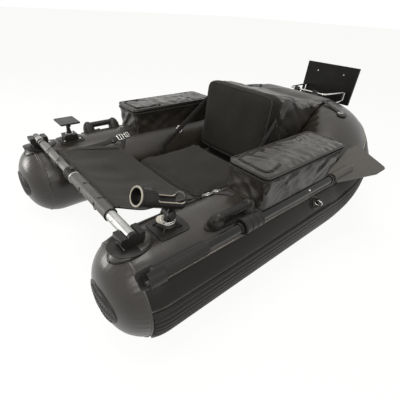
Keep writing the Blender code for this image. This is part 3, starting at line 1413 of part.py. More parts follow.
def build_motor_mount():
    """Board behind the stern, the bent rod frame that carries it, and the frame's saddle."""
    stand = board_matrix()
    middle = stand @ Matrix.Translation((0, BOARD_HEIGHT / 2, BOARD_THICKNESS / 2))
    board = box("motor_board", (BOARD_WIDTH, BOARD_HEIGHT, BOARD_THICKNESS), middle, "board_black")
    rods = []
    blocks = []
    for angle, height in ((FRAME_TOP_ANGLE, FRAME_TOP_BOLT), (FRAME_LOW_ANGLE, FRAME_LOW_BOLT)):
        route = frame_route(angle, height)
        rods.append(rod("motor_frame", route, FRAME_WIRE, Matrix.Identity(4), "stainless", 3))
        for side in (-1, 1):
            place_at = (side * FRAME_LEG_HALF_WIDTH, height, BOARD_THICKNESS / 2)
            at = stand @ Matrix.Translation(place_at)
            radius = FRAME_WIRE + GAP
            cut(board, cylinder("board_hole", radius, 2 * BOARD_THICKNESS, at, "board_black", 12))
            blocks.append(frame_block(side * SADDLE_X, angle))
    for side in (-1, 1):
        join(rods[0], frame_brace(side))
    join(rods[0], rods[1])
    middle_angle = (FRAME_TOP_ANGLE + FRAME_LOW_ANGLE) / 2
    seat = on_stern(0, middle_angle, STERN_RADIUS)
    span = 2 * STERN_RADIUS * sin(radians(FRAME_TOP_ANGLE - FRAME_LOW_ANGLE) / 2)
    outline = rounded_outline(
        2 * (SADDLE_X + SADDLE_MARGIN) + SADDLE_WIDTH,
        span + SADDLE_LENGTH + 2 * SADDLE_MARGIN,
        SQUARE_PATCH_CORNER,
    )
    base = seated(
        "motor_saddle", outline, seat, blocks, "black_plastic", STERN_AXIS, STERN_RADIUS
    )
    for angle in (FRAME_TOP_ANGLE, FRAME_LOW_ANGLE):
        line = on_stern(0, angle, FRAME_DISTANCE) @ Matrix.Rotation(pi / 2, 4, "Y")
        radius = FRAME_WIRE + GAP
        length = 2 * (SADDLE_X + SADDLE_WIDTH + SADDLE_MARGIN)
        cut(base, cylinder("saddle_bore", radius, length, line, "black_plastic", 12))


def frame_block(x, angle):
    """Return one block that holds a rod of the motor frame on the stern."""
    high = FRAME_STANDOFF + 2 * FRAME_WIRE
    size = (SADDLE_WIDTH, SADDLE_LENGTH, high)
    return box("block", size, on_stern(x, angle, STERN_RADIUS + high / 2), "black_plastic")


def frame_brace(side):
    """Return the short rod that ties the upper leg to the lower leg on one side."""
    stand = board_matrix()
    x = side * FRAME_LEG_HALF_WIDTH
    ends = [
        stand @ Vector((x, height, -FRAME_SQUARE_END / 2))
        for height in (FRAME_LOW_BOLT, FRAME_TOP_BOLT)
    ]
    return rod("brace", ends, FRAME_WIRE, Matrix.Identity(4), "stainless", 3)


build_hull()
build_rubbing_band()
build_bar_brackets()
build_spreader_bar()
build_seat()
build_rear_bag()
build_apron()
build_side_bags()
build_back_straps()
build_side_straps()
for oar_place, oar_side in ((RIGHT_OAR, "right"), (LEFT_OAR, "left")):
    build_oars(oar_place, oar_side)
    build_oarlock(oar_place, oar_side)
    build_oar_clip(oar_place, oar_side)
build_handles()
build_finder_mount()
build_rod_holder()
build_valves()
build_tie_rings()
build_motor_mount()
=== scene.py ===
"""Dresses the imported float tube: inflated hull, seat, bags, apron, oars and fittings.

Frame: X across the boat, -Y towards the open bow, +Y towards the stern, Z up from the floor.
All lengths are in metres and all angles in degrees, unless a name says otherwise.
"""

import json
import logging
import math
from dataclasses import dataclass
from enum import Enum
from typing import Callable, Sequence

import bmesh
import bpy
from mathutils import Matrix, Vector, noise
from mathutils.bvhtree import BVHTree

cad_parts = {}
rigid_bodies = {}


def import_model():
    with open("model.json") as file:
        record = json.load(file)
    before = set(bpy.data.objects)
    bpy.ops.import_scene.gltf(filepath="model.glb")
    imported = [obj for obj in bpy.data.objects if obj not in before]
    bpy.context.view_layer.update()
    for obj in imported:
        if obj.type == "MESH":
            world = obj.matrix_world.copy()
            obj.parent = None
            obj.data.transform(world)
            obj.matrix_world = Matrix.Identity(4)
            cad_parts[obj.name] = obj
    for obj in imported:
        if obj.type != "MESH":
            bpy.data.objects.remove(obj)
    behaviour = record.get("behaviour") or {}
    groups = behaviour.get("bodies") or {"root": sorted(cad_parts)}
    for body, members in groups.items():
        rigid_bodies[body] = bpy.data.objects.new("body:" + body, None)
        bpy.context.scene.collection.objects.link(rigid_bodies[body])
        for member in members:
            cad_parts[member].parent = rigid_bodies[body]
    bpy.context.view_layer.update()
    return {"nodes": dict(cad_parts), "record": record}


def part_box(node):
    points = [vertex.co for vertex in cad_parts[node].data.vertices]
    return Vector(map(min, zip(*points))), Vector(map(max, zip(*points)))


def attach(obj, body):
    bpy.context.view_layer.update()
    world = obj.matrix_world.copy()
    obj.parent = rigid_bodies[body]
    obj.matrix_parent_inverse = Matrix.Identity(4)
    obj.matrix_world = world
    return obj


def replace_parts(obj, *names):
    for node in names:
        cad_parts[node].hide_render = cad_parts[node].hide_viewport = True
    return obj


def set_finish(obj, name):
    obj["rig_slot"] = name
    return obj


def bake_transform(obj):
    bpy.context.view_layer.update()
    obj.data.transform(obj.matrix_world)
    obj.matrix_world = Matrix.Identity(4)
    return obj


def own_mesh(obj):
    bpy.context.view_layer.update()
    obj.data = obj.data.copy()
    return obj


LOG = logging.getLogger("float_tube")

Point = tuple[float, float]
Place = Callable[[float, float], Vector]
Colour = tuple[float, float, float, float]
Triple = tuple[float, float, float]
Shape = bmesh.types.BMesh
Piece = bpy.types.Object
Socket = bpy.types.NodeSocket
Tree = bpy.types.NodeTree


def clear_scene() -> None:
    """Remove every object of the open scene."""
    for old in list(bpy.data.objects):
        bpy.data.objects.remove(old, do_unlink=True)


clear_scene()
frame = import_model()


class Pattern(Enum):
    """The fine pattern that a finish carries."""

    COATED = "coated fabric"
    WOVEN = "woven cloth"
    NYLON = "shiny nylon"
    NETTING = "coated mesh cloth"
    WEBBING = "ribbed webbing"
    MOULDED = "moulded plastic or rubber"
    BRUSHED = "brushed metal"


def linear(red: float, green: float, blue: float) -> Colour:
    """Turn a colour as seen on screen, 0 to 255, into the linear colour of a shader.

    Args:
        red: its red channel.
        green: its green channel.
        blue: its blue channel.

    Returns:
        The opaque linear colour.
    """

    def channel(value: float) -> float:
        """Return one channel's linear value."""
        share = value / 255
        return share / 12.92 if share <= 0.04045 else ((share + 0.055) / 1.055) ** 2.4

    return channel(red), channel(green), channel(blue), 1.0


@dataclass(frozen=True)
class Finish:
    """One finish of the boat.

    Attributes:
        name: name of the material.
        slot: the record's material slot.
        dark: screen colour of the finish's darker patches.
        light: screen colour of its lighter patches.
        roughness: mean roughness of the surface.
        pattern: the fine pattern.
        metallic: 1 for bare metal.
        grain: size of one thread, rib or grain.
        depth: height of the pattern's relief.
        sheen: weight of the cloth's sheen.
        coat: weight of a clear coat.
        shine: strength of its mirror-like reflection.
    """

    name: str
    slot: str
    dark: Triple
    light: Triple
    roughness: float
    pattern: Pattern
    metallic: float = 0.0
    grain: float = 0.002
    depth: float = 0.0002
    sheen: float = 0.0
    coat: float = 0.0
    shine: float = 0.28


HULL = Finish(
    "hull_fabric", "hull_pvc", (40, 36, 32), (52, 47, 42), 0.30, Pattern.COATED, grain=0.0012,
    shine=0.56,
)
HULL_SIDE = Finish(
    "hull_side_panel", "hull_pvc", (24, 22, 20), (33, 31, 28), 0.42, Pattern.COATED, grain=0.0012,
    shine=0.20,
)
# The welt's pale grey is a painted highlight: it paints the thin bright line of light catching the
# side panel's upper seam into the colour.
WELT_HIGHLIGHT = Finish(
    "hull_welt_painted_highlight", "hull_pvc", (158, 152, 142), (184, 178, 167), 0.40, Pattern.COATED, grain=0.0012
)
HULL_TAPE = Finish(
    "hull_tape", "hull_pvc", (46, 43, 39), (60, 56, 51), 0.36, Pattern.COATED, grain=0.0012,
    shine=0.62,
)
STRAKE = Finish(
    "strake_rubber", "strake_rubber", (26, 24, 22), (38, 35, 32), 0.42, Pattern.MOULDED, grain=0.004,
    shine=0.22,
)
BOW_PAD = Finish(
    "bow_pad_rubber", "strake_rubber", (28, 26, 23), (40, 37, 33), 0.40, Pattern.MOULDED, grain=0.004,
    shine=0.35,
)
PATCH = Finish(
    "patch_rubber", "patch_rubber", (34, 32, 29), (47, 44, 41), 0.38, Pattern.MOULDED, grain=0.003
)
BAR_METAL = Finish(
    "bar_aluminium", "bar_aluminium", (150, 150, 148), (186, 186, 184), 0.36, Pattern.BRUSHED,
    metallic=1.0, grain=0.0015, shine=0.5,
)
BAR_GREY = Finish(
    "bar_sleeve_grey", "bar_grey", (78, 77, 74), (98, 97, 94), 0.42, Pattern.MOULDED
)
BAR_SATIN = Finish(
    "bar_satin_grey", "bar_grey", (104, 104, 101), (128, 128, 125), 0.36, Pattern.BRUSHED,
    metallic=0.5, grain=0.0015,
)
BLACK_PLASTIC = Finish(
    "black_plastic", "black_plastic", (26, 25, 24), (38, 37, 35), 0.34, Pattern.MOULDED
)
SEAT_CLOTH = Finish(
    "seat_cloth", "seat_fabric", (48, 47, 43), (62, 60, 56), 0.86, Pattern.WOVEN,
    grain=0.0016, depth=0.0004, sheen=0.1, shine=0.1,
)
BACK_CLOTH = Finish(
    "back_cloth", "back_fabric", (40, 38, 35), (52, 50, 46), 0.88, Pattern.WOVEN,
    grain=0.0016, depth=0.0004, sheen=0.06, shine=0.1,
)
PIPING = Finish(
    "piping", "back_fabric", (40, 38, 35), (52, 50, 46), 0.80, Pattern.WOVEN,
    grain=0.0012, depth=0.0003, sheen=0.2,
)
THREAD = Finish(
    "thread", "webbing", (84, 81, 76), (108, 104, 98), 0.70, Pattern.WOVEN, grain=0.0006
)
APRON_CLOTH = Finish(
    "apron_cloth", "apron_fabric", (31, 29, 26), (52, 49, 44), 0.62, Pattern.NETTING,
    grain=0.0020, depth=0.0004, sheen=0.1,
)
HEM = Finish(
    "hem_tape", "apron_fabric", (42, 40, 36), (58, 55, 50), 0.66, Pattern.WEBBING,
    grain=0.0018, depth=0.0003, sheen=0.1,
)
BAG_NYLON = Finish(
    "bag_nylon", "bag_nylon", (43, 40, 36), (58, 54, 49), 0.30, Pattern.NYLON,
    grain=0.0012, depth=0.0001, coat=0.1, shine=0.45,
)
BAG_PIPING = Finish(
    "bag_piping", "bag_nylon", (50, 48, 46), (66, 64, 61), 0.42, Pattern.NYLON, grain=0.0010
)
WEBBING = Finish(
    "webbing", "webbing", (32, 31, 29), (48, 46, 44), 0.70, Pattern.WEBBING,
    grain=0.0018, depth=0.0004, sheen=0.15,
)
STAINLESS = Finish(
    "stainless", "stainless", (190, 188, 184), (222, 220, 216), 0.22, Pattern.BRUSHED,
    metallic=1.0, grain=0.001, shine=0.5,
)
OAR_SHAFT = Finish(
    "oar_shaft", "oar_shaft", (17, 16, 15), (26, 25, 24), 0.20, Pattern.MOULDED, shine=0.34
)
OAR_GRIP = Finish(
    "oar_grip", "oar_grip", (32, 31, 30), (44, 43, 41), 0.62, Pattern.MOULDED, depth=0.0004
)
BLADE = Finish(
    "blade_plastic", "blade_plastic", (70, 67, 63), (86, 83, 78), 0.44, Pattern.MOULDED
)
CREAM = Finish(
    "cream_plastic", "cream_plastic", (210, 202, 186), (232, 226, 212), 0.36, Pattern.MOULDED
)
MOUTH_EDGE = Finish(
    "cream_edge", "cream_plastic", (176, 168, 152), (204, 197, 182), 0.40, Pattern.MOULDED
)
BOARD = Finish(
    "board_black", "board_black", (13, 12, 12), (22, 21, 20), 0.50, Pattern.MOULDED, grain=0.003,
    shine=0.12,
)


def shader_node(tree: Tree, kind: str, inputs: dict[str | int, object]) -> bpy.types.Node:
    """Add a shader node and set or link its inputs.

    Args:
        tree: the node tree of the material or the world.
        kind: the node's type.
        inputs: a value or a socket for each input, by its name or number.

    Returns:
        The node.
    """
    made = tree.nodes.new(kind)
    for key, value in inputs.items():
        if isinstance(value, Socket):
            tree.links.new(value, made.inputs[key])
        else:
            made.inputs[key].default_value = value
    return made


def maths(tree: Tree, kind: str, first: Socket, second: Socket | float) -> Socket:
    """Return the result of a Math node.

    Args:
        tree: the node tree.
        kind: the operation.
        first: its first value.
        second: its second value, a socket or a number.

    Returns:
        The socket of the result.
    """
    made = shader_node(tree, "ShaderNodeMath", {0: first, 1: second})
    made.operation = kind
    return made.outputs["Value"]


class Painter:
    """Makes each finish's node material once and hands it out."""

    def __init__(self) -> None:
        """Start with no materials made."""
        self.made: dict[str, bpy.types.Material] = {}

    def material(self, finish: Finish) -> bpy.types.Material:
        """Return the material of a finish, made at its first use.

        Args:
            finish: the finish to make.

        Returns:
            The node material.
        """
        if finish.name not in self.made:
            self.made[finish.name] = self._build(finish)
        return self.made[finish.name]

    def _build(self, finish: Finish) -> bpy.types.Material:
        """Make the shader, its mottled colour, its relief and its gloss.

        Args:
            finish: the finish to make.

        Returns:
            The node material.
        """
        made = bpy.data.materials.new(finish.name)
        made.use_nodes = True
        tree = made.node_tree
        shader = tree.nodes["Principled BSDF"]
        for key, value in {
            "Metallic": finish.metallic, "Sheen Weight": finish.sheen,
            "Specular IOR Level": finish.shine, "Coat Weight": finish.coat,
            "Coat Roughness": 0.25,
        }.items():
            shader.inputs[key].default_value = value
        coordinates = tree.nodes.new("ShaderNodeTexCoord")
        place = coordinates.outputs["Object"]
        mottle = self._noise(tree, place, 9.0, 4.0)
        fine = self._noise(tree, place, 1 / (finish.grain * 6), 2.0)
        blend = self._mix(tree, mottle, fine, 0.35)
        ramp = shader_node(tree, "ShaderNodeValToRGB", {"Fac": blend})
        stops = ((0.32, finish.dark), (0.68, finish.light))
        for element, (position, colour) in zip(ramp.color_ramp.elements, stops):
            element.position = position
            element.color = linear(*colour)
        tree.links.new(ramp.outputs["Color"], shader.inputs["Base Color"])
        spread = shader_node(tree, "ShaderNodeMapRange", {
            "From Min": 0.3, "From Max": 0.7, "To Min": max(0.05, finish.roughness - 0.07),
            "To Max": min(1.0, finish.roughness + 0.07), "Value": mottle,
        })
        tree.links.new(spread.outputs["Result"], shader.inputs["Roughness"])
        relief = self._relief(tree, finish, coordinates)
        bump = shader_node(
            tree, "ShaderNodeBump", {"Strength": 0.6, "Distance": finish.depth, "Height": relief}
        )
        tree.links.new(bump.outputs["Normal"], shader.inputs["Normal"])
        return made

    @staticmethod
    def _noise(tree: Tree, place: Socket, scale: float, detail: float) -> Socket:
        """Return the value of a noise at this many patches per metre."""
        inputs = {"Scale": scale, "Detail": detail, "Vector": place}
        return shader_node(tree, "ShaderNodeTexNoise", inputs).outputs["Fac"]

    @staticmethod
    def _mix(tree: Tree, first: Socket, second: Socket, share: float) -> Socket:
        """Return two values mixed by a share of the second."""
        inputs = {"Factor": share, "A": first, "B": second}
        return shader_node(tree, "ShaderNodeMix", inputs).outputs["Result"]

    @staticmethod
    def _bands(tree: Tree, place: Socket, axis: str, scale: float) -> Socket:
        """Return a wave of ridges across one axis.

        Args:
            tree: the node tree.
            place: the coordinates that it reads.
            axis: the axis that it crosses.
            scale: number of ridges per metre.

        Returns:
            The socket of its height.
        """
        inputs = {"Scale": scale * math.pi / 10, "Distortion": 0.0, "Vector": place}
        made = shader_node(tree, "ShaderNodeTexWave", inputs)
        made.wave_type = "BANDS"
        made.bands_direction = axis
        return made.outputs["Fac"]

    def _relief(self, tree: Tree, finish: Finish, coordinates: bpy.types.Node) -> Socket:
        """Return the height field of a finish's fine pattern.

        Args:
            tree: the node tree.
            finish: the finish.
            coordinates: the Texture Coordinate node.

        Returns:
            The socket of the height.
        """
        solid = coordinates.outputs["Object"]
        flat = coordinates.outputs["UV"]
        pitch = 1 / finish.grain
        grain = self._noise(tree, solid, pitch, 3.0)
        if finish.pattern is Pattern.MOULDED:
            return grain
        if finish.pattern is Pattern.BRUSHED:
            inputs = {"Scale": (0.05, 1.0, 1.0), "Vector": solid}
            stretch = shader_node(tree, "ShaderNodeMapping", inputs)
            return self._noise(tree, stretch.outputs["Vector"], pitch, 2.0)
        if finish.pattern in (Pattern.WEBBING, Pattern.NETTING):
            warp = self._bands(tree, flat, "X", pitch)
            weft = self._bands(tree, flat, "Y", pitch)
            if finish.pattern is Pattern.NETTING:
                return maths(tree, "MAXIMUM", warp, weft)
            return maths(tree, "ADD", warp, maths(tree, "MULTIPLY", weft, 0.3))
        across, along, upwards = (self._bands(tree, solid, axis, pitch) for axis in "XYZ")
        cloth = maths(tree, "ADD", maths(tree, "ADD", across, along), upwards)
        cloth = maths(tree, "MULTIPLY", cloth, 1 / 3)
        share = 0.5 if finish.pattern is Pattern.WOVEN else 0.75
        return self._mix(tree, cloth, grain, share)


PAINTER = Painter()


def loft(rings: int, sides: int, place: Place, metres: Point = (1.0, 1.0),
         closed: bool = False, open_section: bool = False) -> Shape:
    """Bend a flat grid into a skin and weld its seams.

    Args:
        rings: number of steps along the piece.
        sides: number of steps round the section.
        place: gives the point for (share along, share round), both 0 to 1.
        metres: real length and girth, for the UV map.
        closed: whether the piece's end meets its start.
        open_section: whether the section is an open line, as on a sheet.

    Returns:
        The bmesh, with faces outwards where it is closed.
    """
    shape = bmesh.new()
    surface = shape.loops.layers.uv.new("surface")
    bmesh.ops.create_grid(
        shape, x_segments=rings, y_segments=sides, size=0.5, calc_uvs=True
    )
    for corner in shape.verts:
        corner.co = place(corner.co.x + 0.5, corner.co.y + 0.5)
    for face in shape.faces:
        for loop in face.loops:
            u, v = loop[surface].uv
            loop[surface].uv = (u * metres[0], v * metres[1])
    if open_section:
        return shape
    bmesh.ops.remove_doubles(shape, verts=shape.verts, dist=1e-6)
    if not closed:
        rims = [edge for edge in shape.edges if edge.is_boundary]
        bmesh.ops.holes_fill(shape, edges=rims)
    bmesh.ops.recalc_face_normals(shape, faces=shape.faces)
    return shape


def finished(name: str, shape: Shape, finish: Finish, body: str | None = "hull",
             sharp: float = 40.0, refine: int = 0, thick: float = 0.0) -> Piece:
    """Turn a bmesh into a piece in its finish, riding on its CAD body.

    Args:
        name: name of the piece.
        shape: its mesh, which is freed.
        finish: its finish.
        body: the CAD body that it moves with; none where it is bent between two.
        sharp: edges above this angle stay hard.
        refine: number of times that its faces are split and smoothed.
        thick: thickness added inwards to an open skin.

    Returns:
        The piece's object, at the origin.
    """
    mesh = bpy.data.meshes.new(name)
    shape.to_mesh(mesh)
    shape.free()
    piece = bpy.data.objects.new(name, mesh)
    bpy.context.scene.collection.objects.link(piece)
    if thick:
        wall = piece.modifiers.new("wall", "SOLIDIFY")
        wall.thickness = thick
        wall.offset = -1.0
    if refine:
        finer = piece.modifiers.new("finer", "SUBSURF")
        finer.levels = refine
        finer.render_levels = refine
    if thick or refine:
        bpy.context.view_layer.update()
        graph = bpy.context.evaluated_depsgraph_get()
        mesh = bpy.data.meshes.new_from_object(piece.evaluated_get(graph), depsgraph=graph)
        mesh.name = name
        piece.modifiers.clear()
        piece.data = mesh
    mesh.materials.clear()
    mesh.materials.append(PAINTER.material(finish))
    mesh.shade_smooth()
    mesh.set_sharp_from_angle(angle=math.radians(sharp))
    if body:
        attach(piece, body)
    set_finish(piece, finish.slot)
    return piece


def flipped(shape: Shape) -> Shape:
    """Mirror a mesh across the middle of the boat, in place.

    Args:
        shape: the mesh.

    Returns:
        The same mesh.
    """
    bmesh.ops.transform(shape, matrix=Matrix.Scale(-1, 4, (1, 0, 0)), verts=shape.verts)
    bmesh.ops.reverse_faces(shape, faces=shape.faces)
    return shape


def mirrored(source: Piece, name: str,
             body: str | None = "hull") -> Piece:
    """Add the left-hand copy of a right-hand piece.

    Args:
        source: the right-hand piece.
        name: name of the copy.
        body: the CAD body that the copy moves with; none where it is bent between two.

    Returns:
        The copy.
    """
    shape = bmesh.new()
    shape.from_mesh(source.data)
    mesh = source.data.copy()
    mesh.name = name
    flipped(shape).to_mesh(mesh)
    shape.free()
    copy = bpy.data.objects.new(name, mesh)
    bpy.context.scene.collection.objects.link(copy)
    if body:
        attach(copy, body)
    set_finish(copy, source["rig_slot"])
    return copy


def paired(stem: str, shape: Shape, finish: Finish, sharp: float = 40.0) -> None:
    """Make a right-hand piece on the hull and its left-hand copy.

    Args:
        stem: the two names without their last word.
        shape: the right-hand mesh.
        finish: their finish.
        sharp: edges above this angle stay hard.
    """
    mirrored(finished(stem + "_right", shape, finish, sharp=sharp), stem + "_left")


def joined(*shapes: Shape) -> Shape:
    """Put several meshes into the first one.

    Args:
        shapes: the meshes; all but the first are freed.

    Returns:
        The first mesh, with the others in it.
    """
    whole = shapes[0]
    for other in shapes[1:]:
        mesh = bpy.data.meshes.new("joined")
        other.to_mesh(mesh)
        other.free()
        whole.from_mesh(mesh)
        bpy.data.meshes.remove(mesh)
    return whole


def cuboid(size: Sequence[float], place: Matrix, edge: float) -> Shape:
    """Make a block with rounded edges.

    Args:
        size: its size along its own axes.
        place: where it goes.
        edge: radius of its edges.

    Returns:
        The mesh.
    """
    shape = bmesh.new()
    bmesh.ops.create_cube(shape, size=1.0, matrix=Matrix.Diagonal((*size, 1.0)))
    bmesh.ops.bevel(
        shape, geom=shape.edges[:], offset=edge, affect="EDGES", segments=2, profile=0.5,
        material=-1,
    )
    bmesh.ops.transform(shape, matrix=place, verts=shape.verts)
    return shape


def lathe(profile: Sequence[Point], place: Matrix, sides: int = 40) -> Shape:
    """Turn a profile round the local Z axis.

    Args:
        profile: (radius, height) points from one end to the other.
        place: where the turned piece goes.
        sides: number of steps round it.

    Returns:
        The mesh.
    """
    shape = bmesh.new()
    line = [shape.verts.new((radius, 0.0, height)) for radius, height in profile]
    for first, second in zip(line, line[1:]):
        shape.edges.new((first, second))
    bmesh.ops.spin(
        shape, geom=shape.verts[:] + shape.edges[:], cent=(0, 0, 0), axis=(0, 0, 1),
        angle=2 * math.pi, steps=sides, use_merge=True,
    )
    bmesh.ops.remove_doubles(shape, verts=shape.verts, dist=1e-6)
    bmesh.ops.recalc_face_normals(shape, faces=shape.faces)
    bmesh.ops.transform(shape, matrix=place, verts=shape.verts)
    return shape


def disc(radius: float, height: float, place: Matrix, edge: float = 0.001) -> Shape:
    """Make a round plate on its local XY plane, with its top edge rounded.

    Args:
        radius: its radius.
        height: its thickness.
        place: the middle of its underside.
        edge: radius of its top edge.

    Returns:
        The mesh.
    """
    profile = [(0.0, 0.0), (radius, 0.0), (radius, height - edge)]
    profile += [(radius - edge * 0.3, height - edge * 0.3), (radius - edge, height), (0.0, height)]
    return lathe(profile, place, 28)


def hoop(radius: float, wire: float, place: Matrix) -> Shape:
    """Make a ring of round wire about the local Z axis.

    Args:
        radius: radius of the ring's middle line.
        wire: radius of the wire.
        place: the ring's middle.

    Returns:
        The mesh.
    """
    points = [place @ Vector(polar(radius, 360.0 * step / 36)) for step in range(36)]
    return sweep(points, circle(wire), closed=True)


def polar(radius: float, angle: float) -> Triple:
    """Return the point at a radius and an angle on the local XY plane."""
    turn = math.radians(angle)
    return radius * math.cos(turn), radius * math.sin(turn), 0.0


def circle(radius: float, sides: int = 10) -> list[Point]:
    """Return the points of a round section."""
    return [polar(radius, 360.0 * step / sides)[:2] for step in range(sides)]


def ribbon(width: float, thickness: float) -> list[Point]:
    """Return the section of a flat strap that lies on its path, with softened edges.

    Args:
        width: the strap's width.
        thickness: its thickness.

    Returns:
        The section's points.
    """
    half, low = width / 2, thickness / 3
    return [
        (-half, low), (-half + low, 0.0), (half - low, 0.0), (half, low),
        (half, 2 * low), (half - low, thickness), (-half + low, thickness), (-half, 2 * low),
    ]


def smooth_path(points: Sequence[Vector], steps: int = 8, closed: bool = False) -> list[Vector]:
    """Return a smooth line through points.

    Args:
        points: the points that it passes.
        steps: number of steps between two of them.
        closed: whether the last point leads back to the first.

    Returns:
        The points of the smooth line.
    """
    count = len(points)
    spans = count if closed else count - 1
    line: list[Vector] = []
    for span in range(spans):
        corners = []
        for offset in (-1, 0, 1, 2):
            index = span + offset
            index = index % count if closed else min(count - 1, max(0, index))
            corners.append(Vector(points[index]))
        a, b, c, d = corners
        for step in range(steps):
            t = step / steps
            line.append(0.5 * (
                2 * b + (c - a) * t + (2 * a - 5 * b + 4 * c - d) * t**2
                + (3 * b - a - 3 * c + d) * t**3
            ))
    if not closed:
        line.append(Vector(points[-1]))
    return line


def sweep(points: Sequence[Vector], section: Sequence[Point],
          normals: Sequence[Vector] | None = None, closed: bool = False) -> Shape:
    """Carry a section along a line.

    Args:
        points: the line.
        section: (sideways, upwards) points of the section.
        normals: the upward direction at each point; worked out where it isn't given.
        closed: whether the line is a loop.

    Returns:
        The closed mesh, with a UV map in metres along and round it.
    """
    count, sides = len(points), len(section)
    spans = count if closed else count - 1
    axes: list[tuple[Vector, Vector]] = []
    upward = Vector((0.13, 0.08, 1.0))
    for index, point in enumerate(points):
        after = points[(index + 1) % count] if closed else points[min(count - 1, index + 1)]
        before = points[index - 1] if closed or index > 0 else point
        along = (Vector(after) - Vector(before)).normalized()
        upward = Vector(normals[index]) if normals else upward
        side = along.cross(upward)
        if side.length < 1e-4:
            side = along.cross(Vector((1.0, 0.3, 0.2)))
        side.normalize()
        upward = side.cross(along).normalized()
        axes.append((side, upward))
    length = sum((Vector(points[i + 1]) - Vector(points[i])).length for i in range(count - 1))
    girth = sum(math.dist(section[i - 1], section[i]) for i in range(sides))

    def place(u: float, v: float) -> Vector:
        """Return a point of the swept skin."""
        index = round(u * spans) % count
        across, above = section[round(v * sides) % sides]
        side, lift = axes[index]
        return Vector(points[index]) + side * across + lift * above

    return loft(spans, sides, place, (length, girth), closed)


def from_node(node: str, voxel: float, smoothing: int = 3) -> Shape:
    """Copy a CAD solid into an even mesh that a cloth simulation can bend.

    Args:
        node: the CAD node.
        voxel: size of one cell of the new mesh.
        smoothing: number of smoothing passes that round its edges.

    Returns:
        The mesh.
    """
    copy = frame["nodes"][node].copy()
    copy.data = copy.data.copy()
    bpy.context.scene.collection.objects.link(copy)
    remesh = copy.modifiers.new("even", "REMESH")
    remesh.mode = "VOXEL"
    remesh.voxel_size = voxel
    bpy.context.view_layer.update()
    graph = bpy.context.evaluated_depsgraph_get()
    shape = bmesh.new()
    shape.from_mesh(copy.evaluated_get(graph).data)
    bpy.data.objects.remove(copy, do_unlink=True)
    for _ in range(smoothing):
        bmesh.ops.smooth_vert(
            shape, verts=shape.verts, factor=0.5, use_axis_x=True, use_axis_y=True, use_axis_z=True
        )
    return shape


@dataclass(frozen=True)
class Filling:
    """How a soft piece is filled in its cloth simulation.

    Attributes:
        pressure: pressure of the filling.
        slack: share by which the cloth is longer than the piece it starts from.
        cap: furthest that a point may move.
        stiffness: resistance of the cloth to bending.
        frames: number of frames that it runs.
    """

    pressure: float = 4.0
    slack: float = 0.0
    cap: float = 0.010
    stiffness: float = 0.5
    frames: int = 20


def filled(shape: Shape, filling: Filling,
           held: Callable[[Vector], bool] = lambda place: False) -> Shape:
    """Swell and crease a soft mesh by a short cloth simulation.

    Args:
        shape: the mesh, which keeps its faces and UV map.
        filling: how it is filled.
        held: tells whether a point is sewn or rests and so stays where it is.

    Returns:
        The same mesh, moved.
    """
    mesh = bpy.data.meshes.new("cloth")
    shape.to_mesh(mesh)
    piece = bpy.data.objects.new("cloth", mesh)
    bpy.context.scene.collection.objects.link(piece)
    pins = [vertex.index for vertex in mesh.vertices if held(vertex.co)]
    piece.vertex_groups.new(name="held").add(pins, 1.0, "REPLACE")
    cloth = piece.modifiers.new("cloth", "CLOTH")
    settings = cloth.settings
    settings.vertex_group_mass = "held"
    settings.use_pressure = True
    settings.uniform_pressure_force = filling.pressure
    settings.shrink_min = -filling.slack
    settings.bending_stiffness = filling.stiffness
    settings.effector_weights.gravity = 0.0
    cloth.point_cache.frame_end = filling.frames
    scene = bpy.context.scene
    for step in range(1, filling.frames + 1):
        scene.frame_set(step)
    graph = bpy.context.evaluated_depsgraph_get()
    moved = [vertex.co.copy() for vertex in piece.evaluated_get(graph).data.vertices]
    for vertex, target in zip(shape.verts, moved):
        shift = target - vertex.co
        if shift.length > filling.cap:
            shift = shift.normalized() * filling.cap
        vertex.co = vertex.co + shift
    bpy.data.objects.remove(piece, do_unlink=True)
    scene.frame_set(1)
    return shape


def middle_of(node: str) -> Vector:
    """Return the middle of a CAD node's box."""
    low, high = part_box(node)
    return (Vector(low) + Vector(high)) / 2


def hugged(points: Sequence[Vector], shape: Shape,
           lift: float) -> tuple[list[Vector], list[Vector]]:
    """Move a line onto a surface.

    Args:
        points: the line.
        shape: the surface's mesh.
        lift: height above the surface.

    Returns:
        The moved points and the surface's normals there.
    """
    tree = BVHTree.FromBMesh(shape)
    found = [tree.find_nearest(Vector(point)) for point in points]
    normals = [hit[1] for hit in found]
    return [hit[0] + hit[1] * lift for hit in found], normals


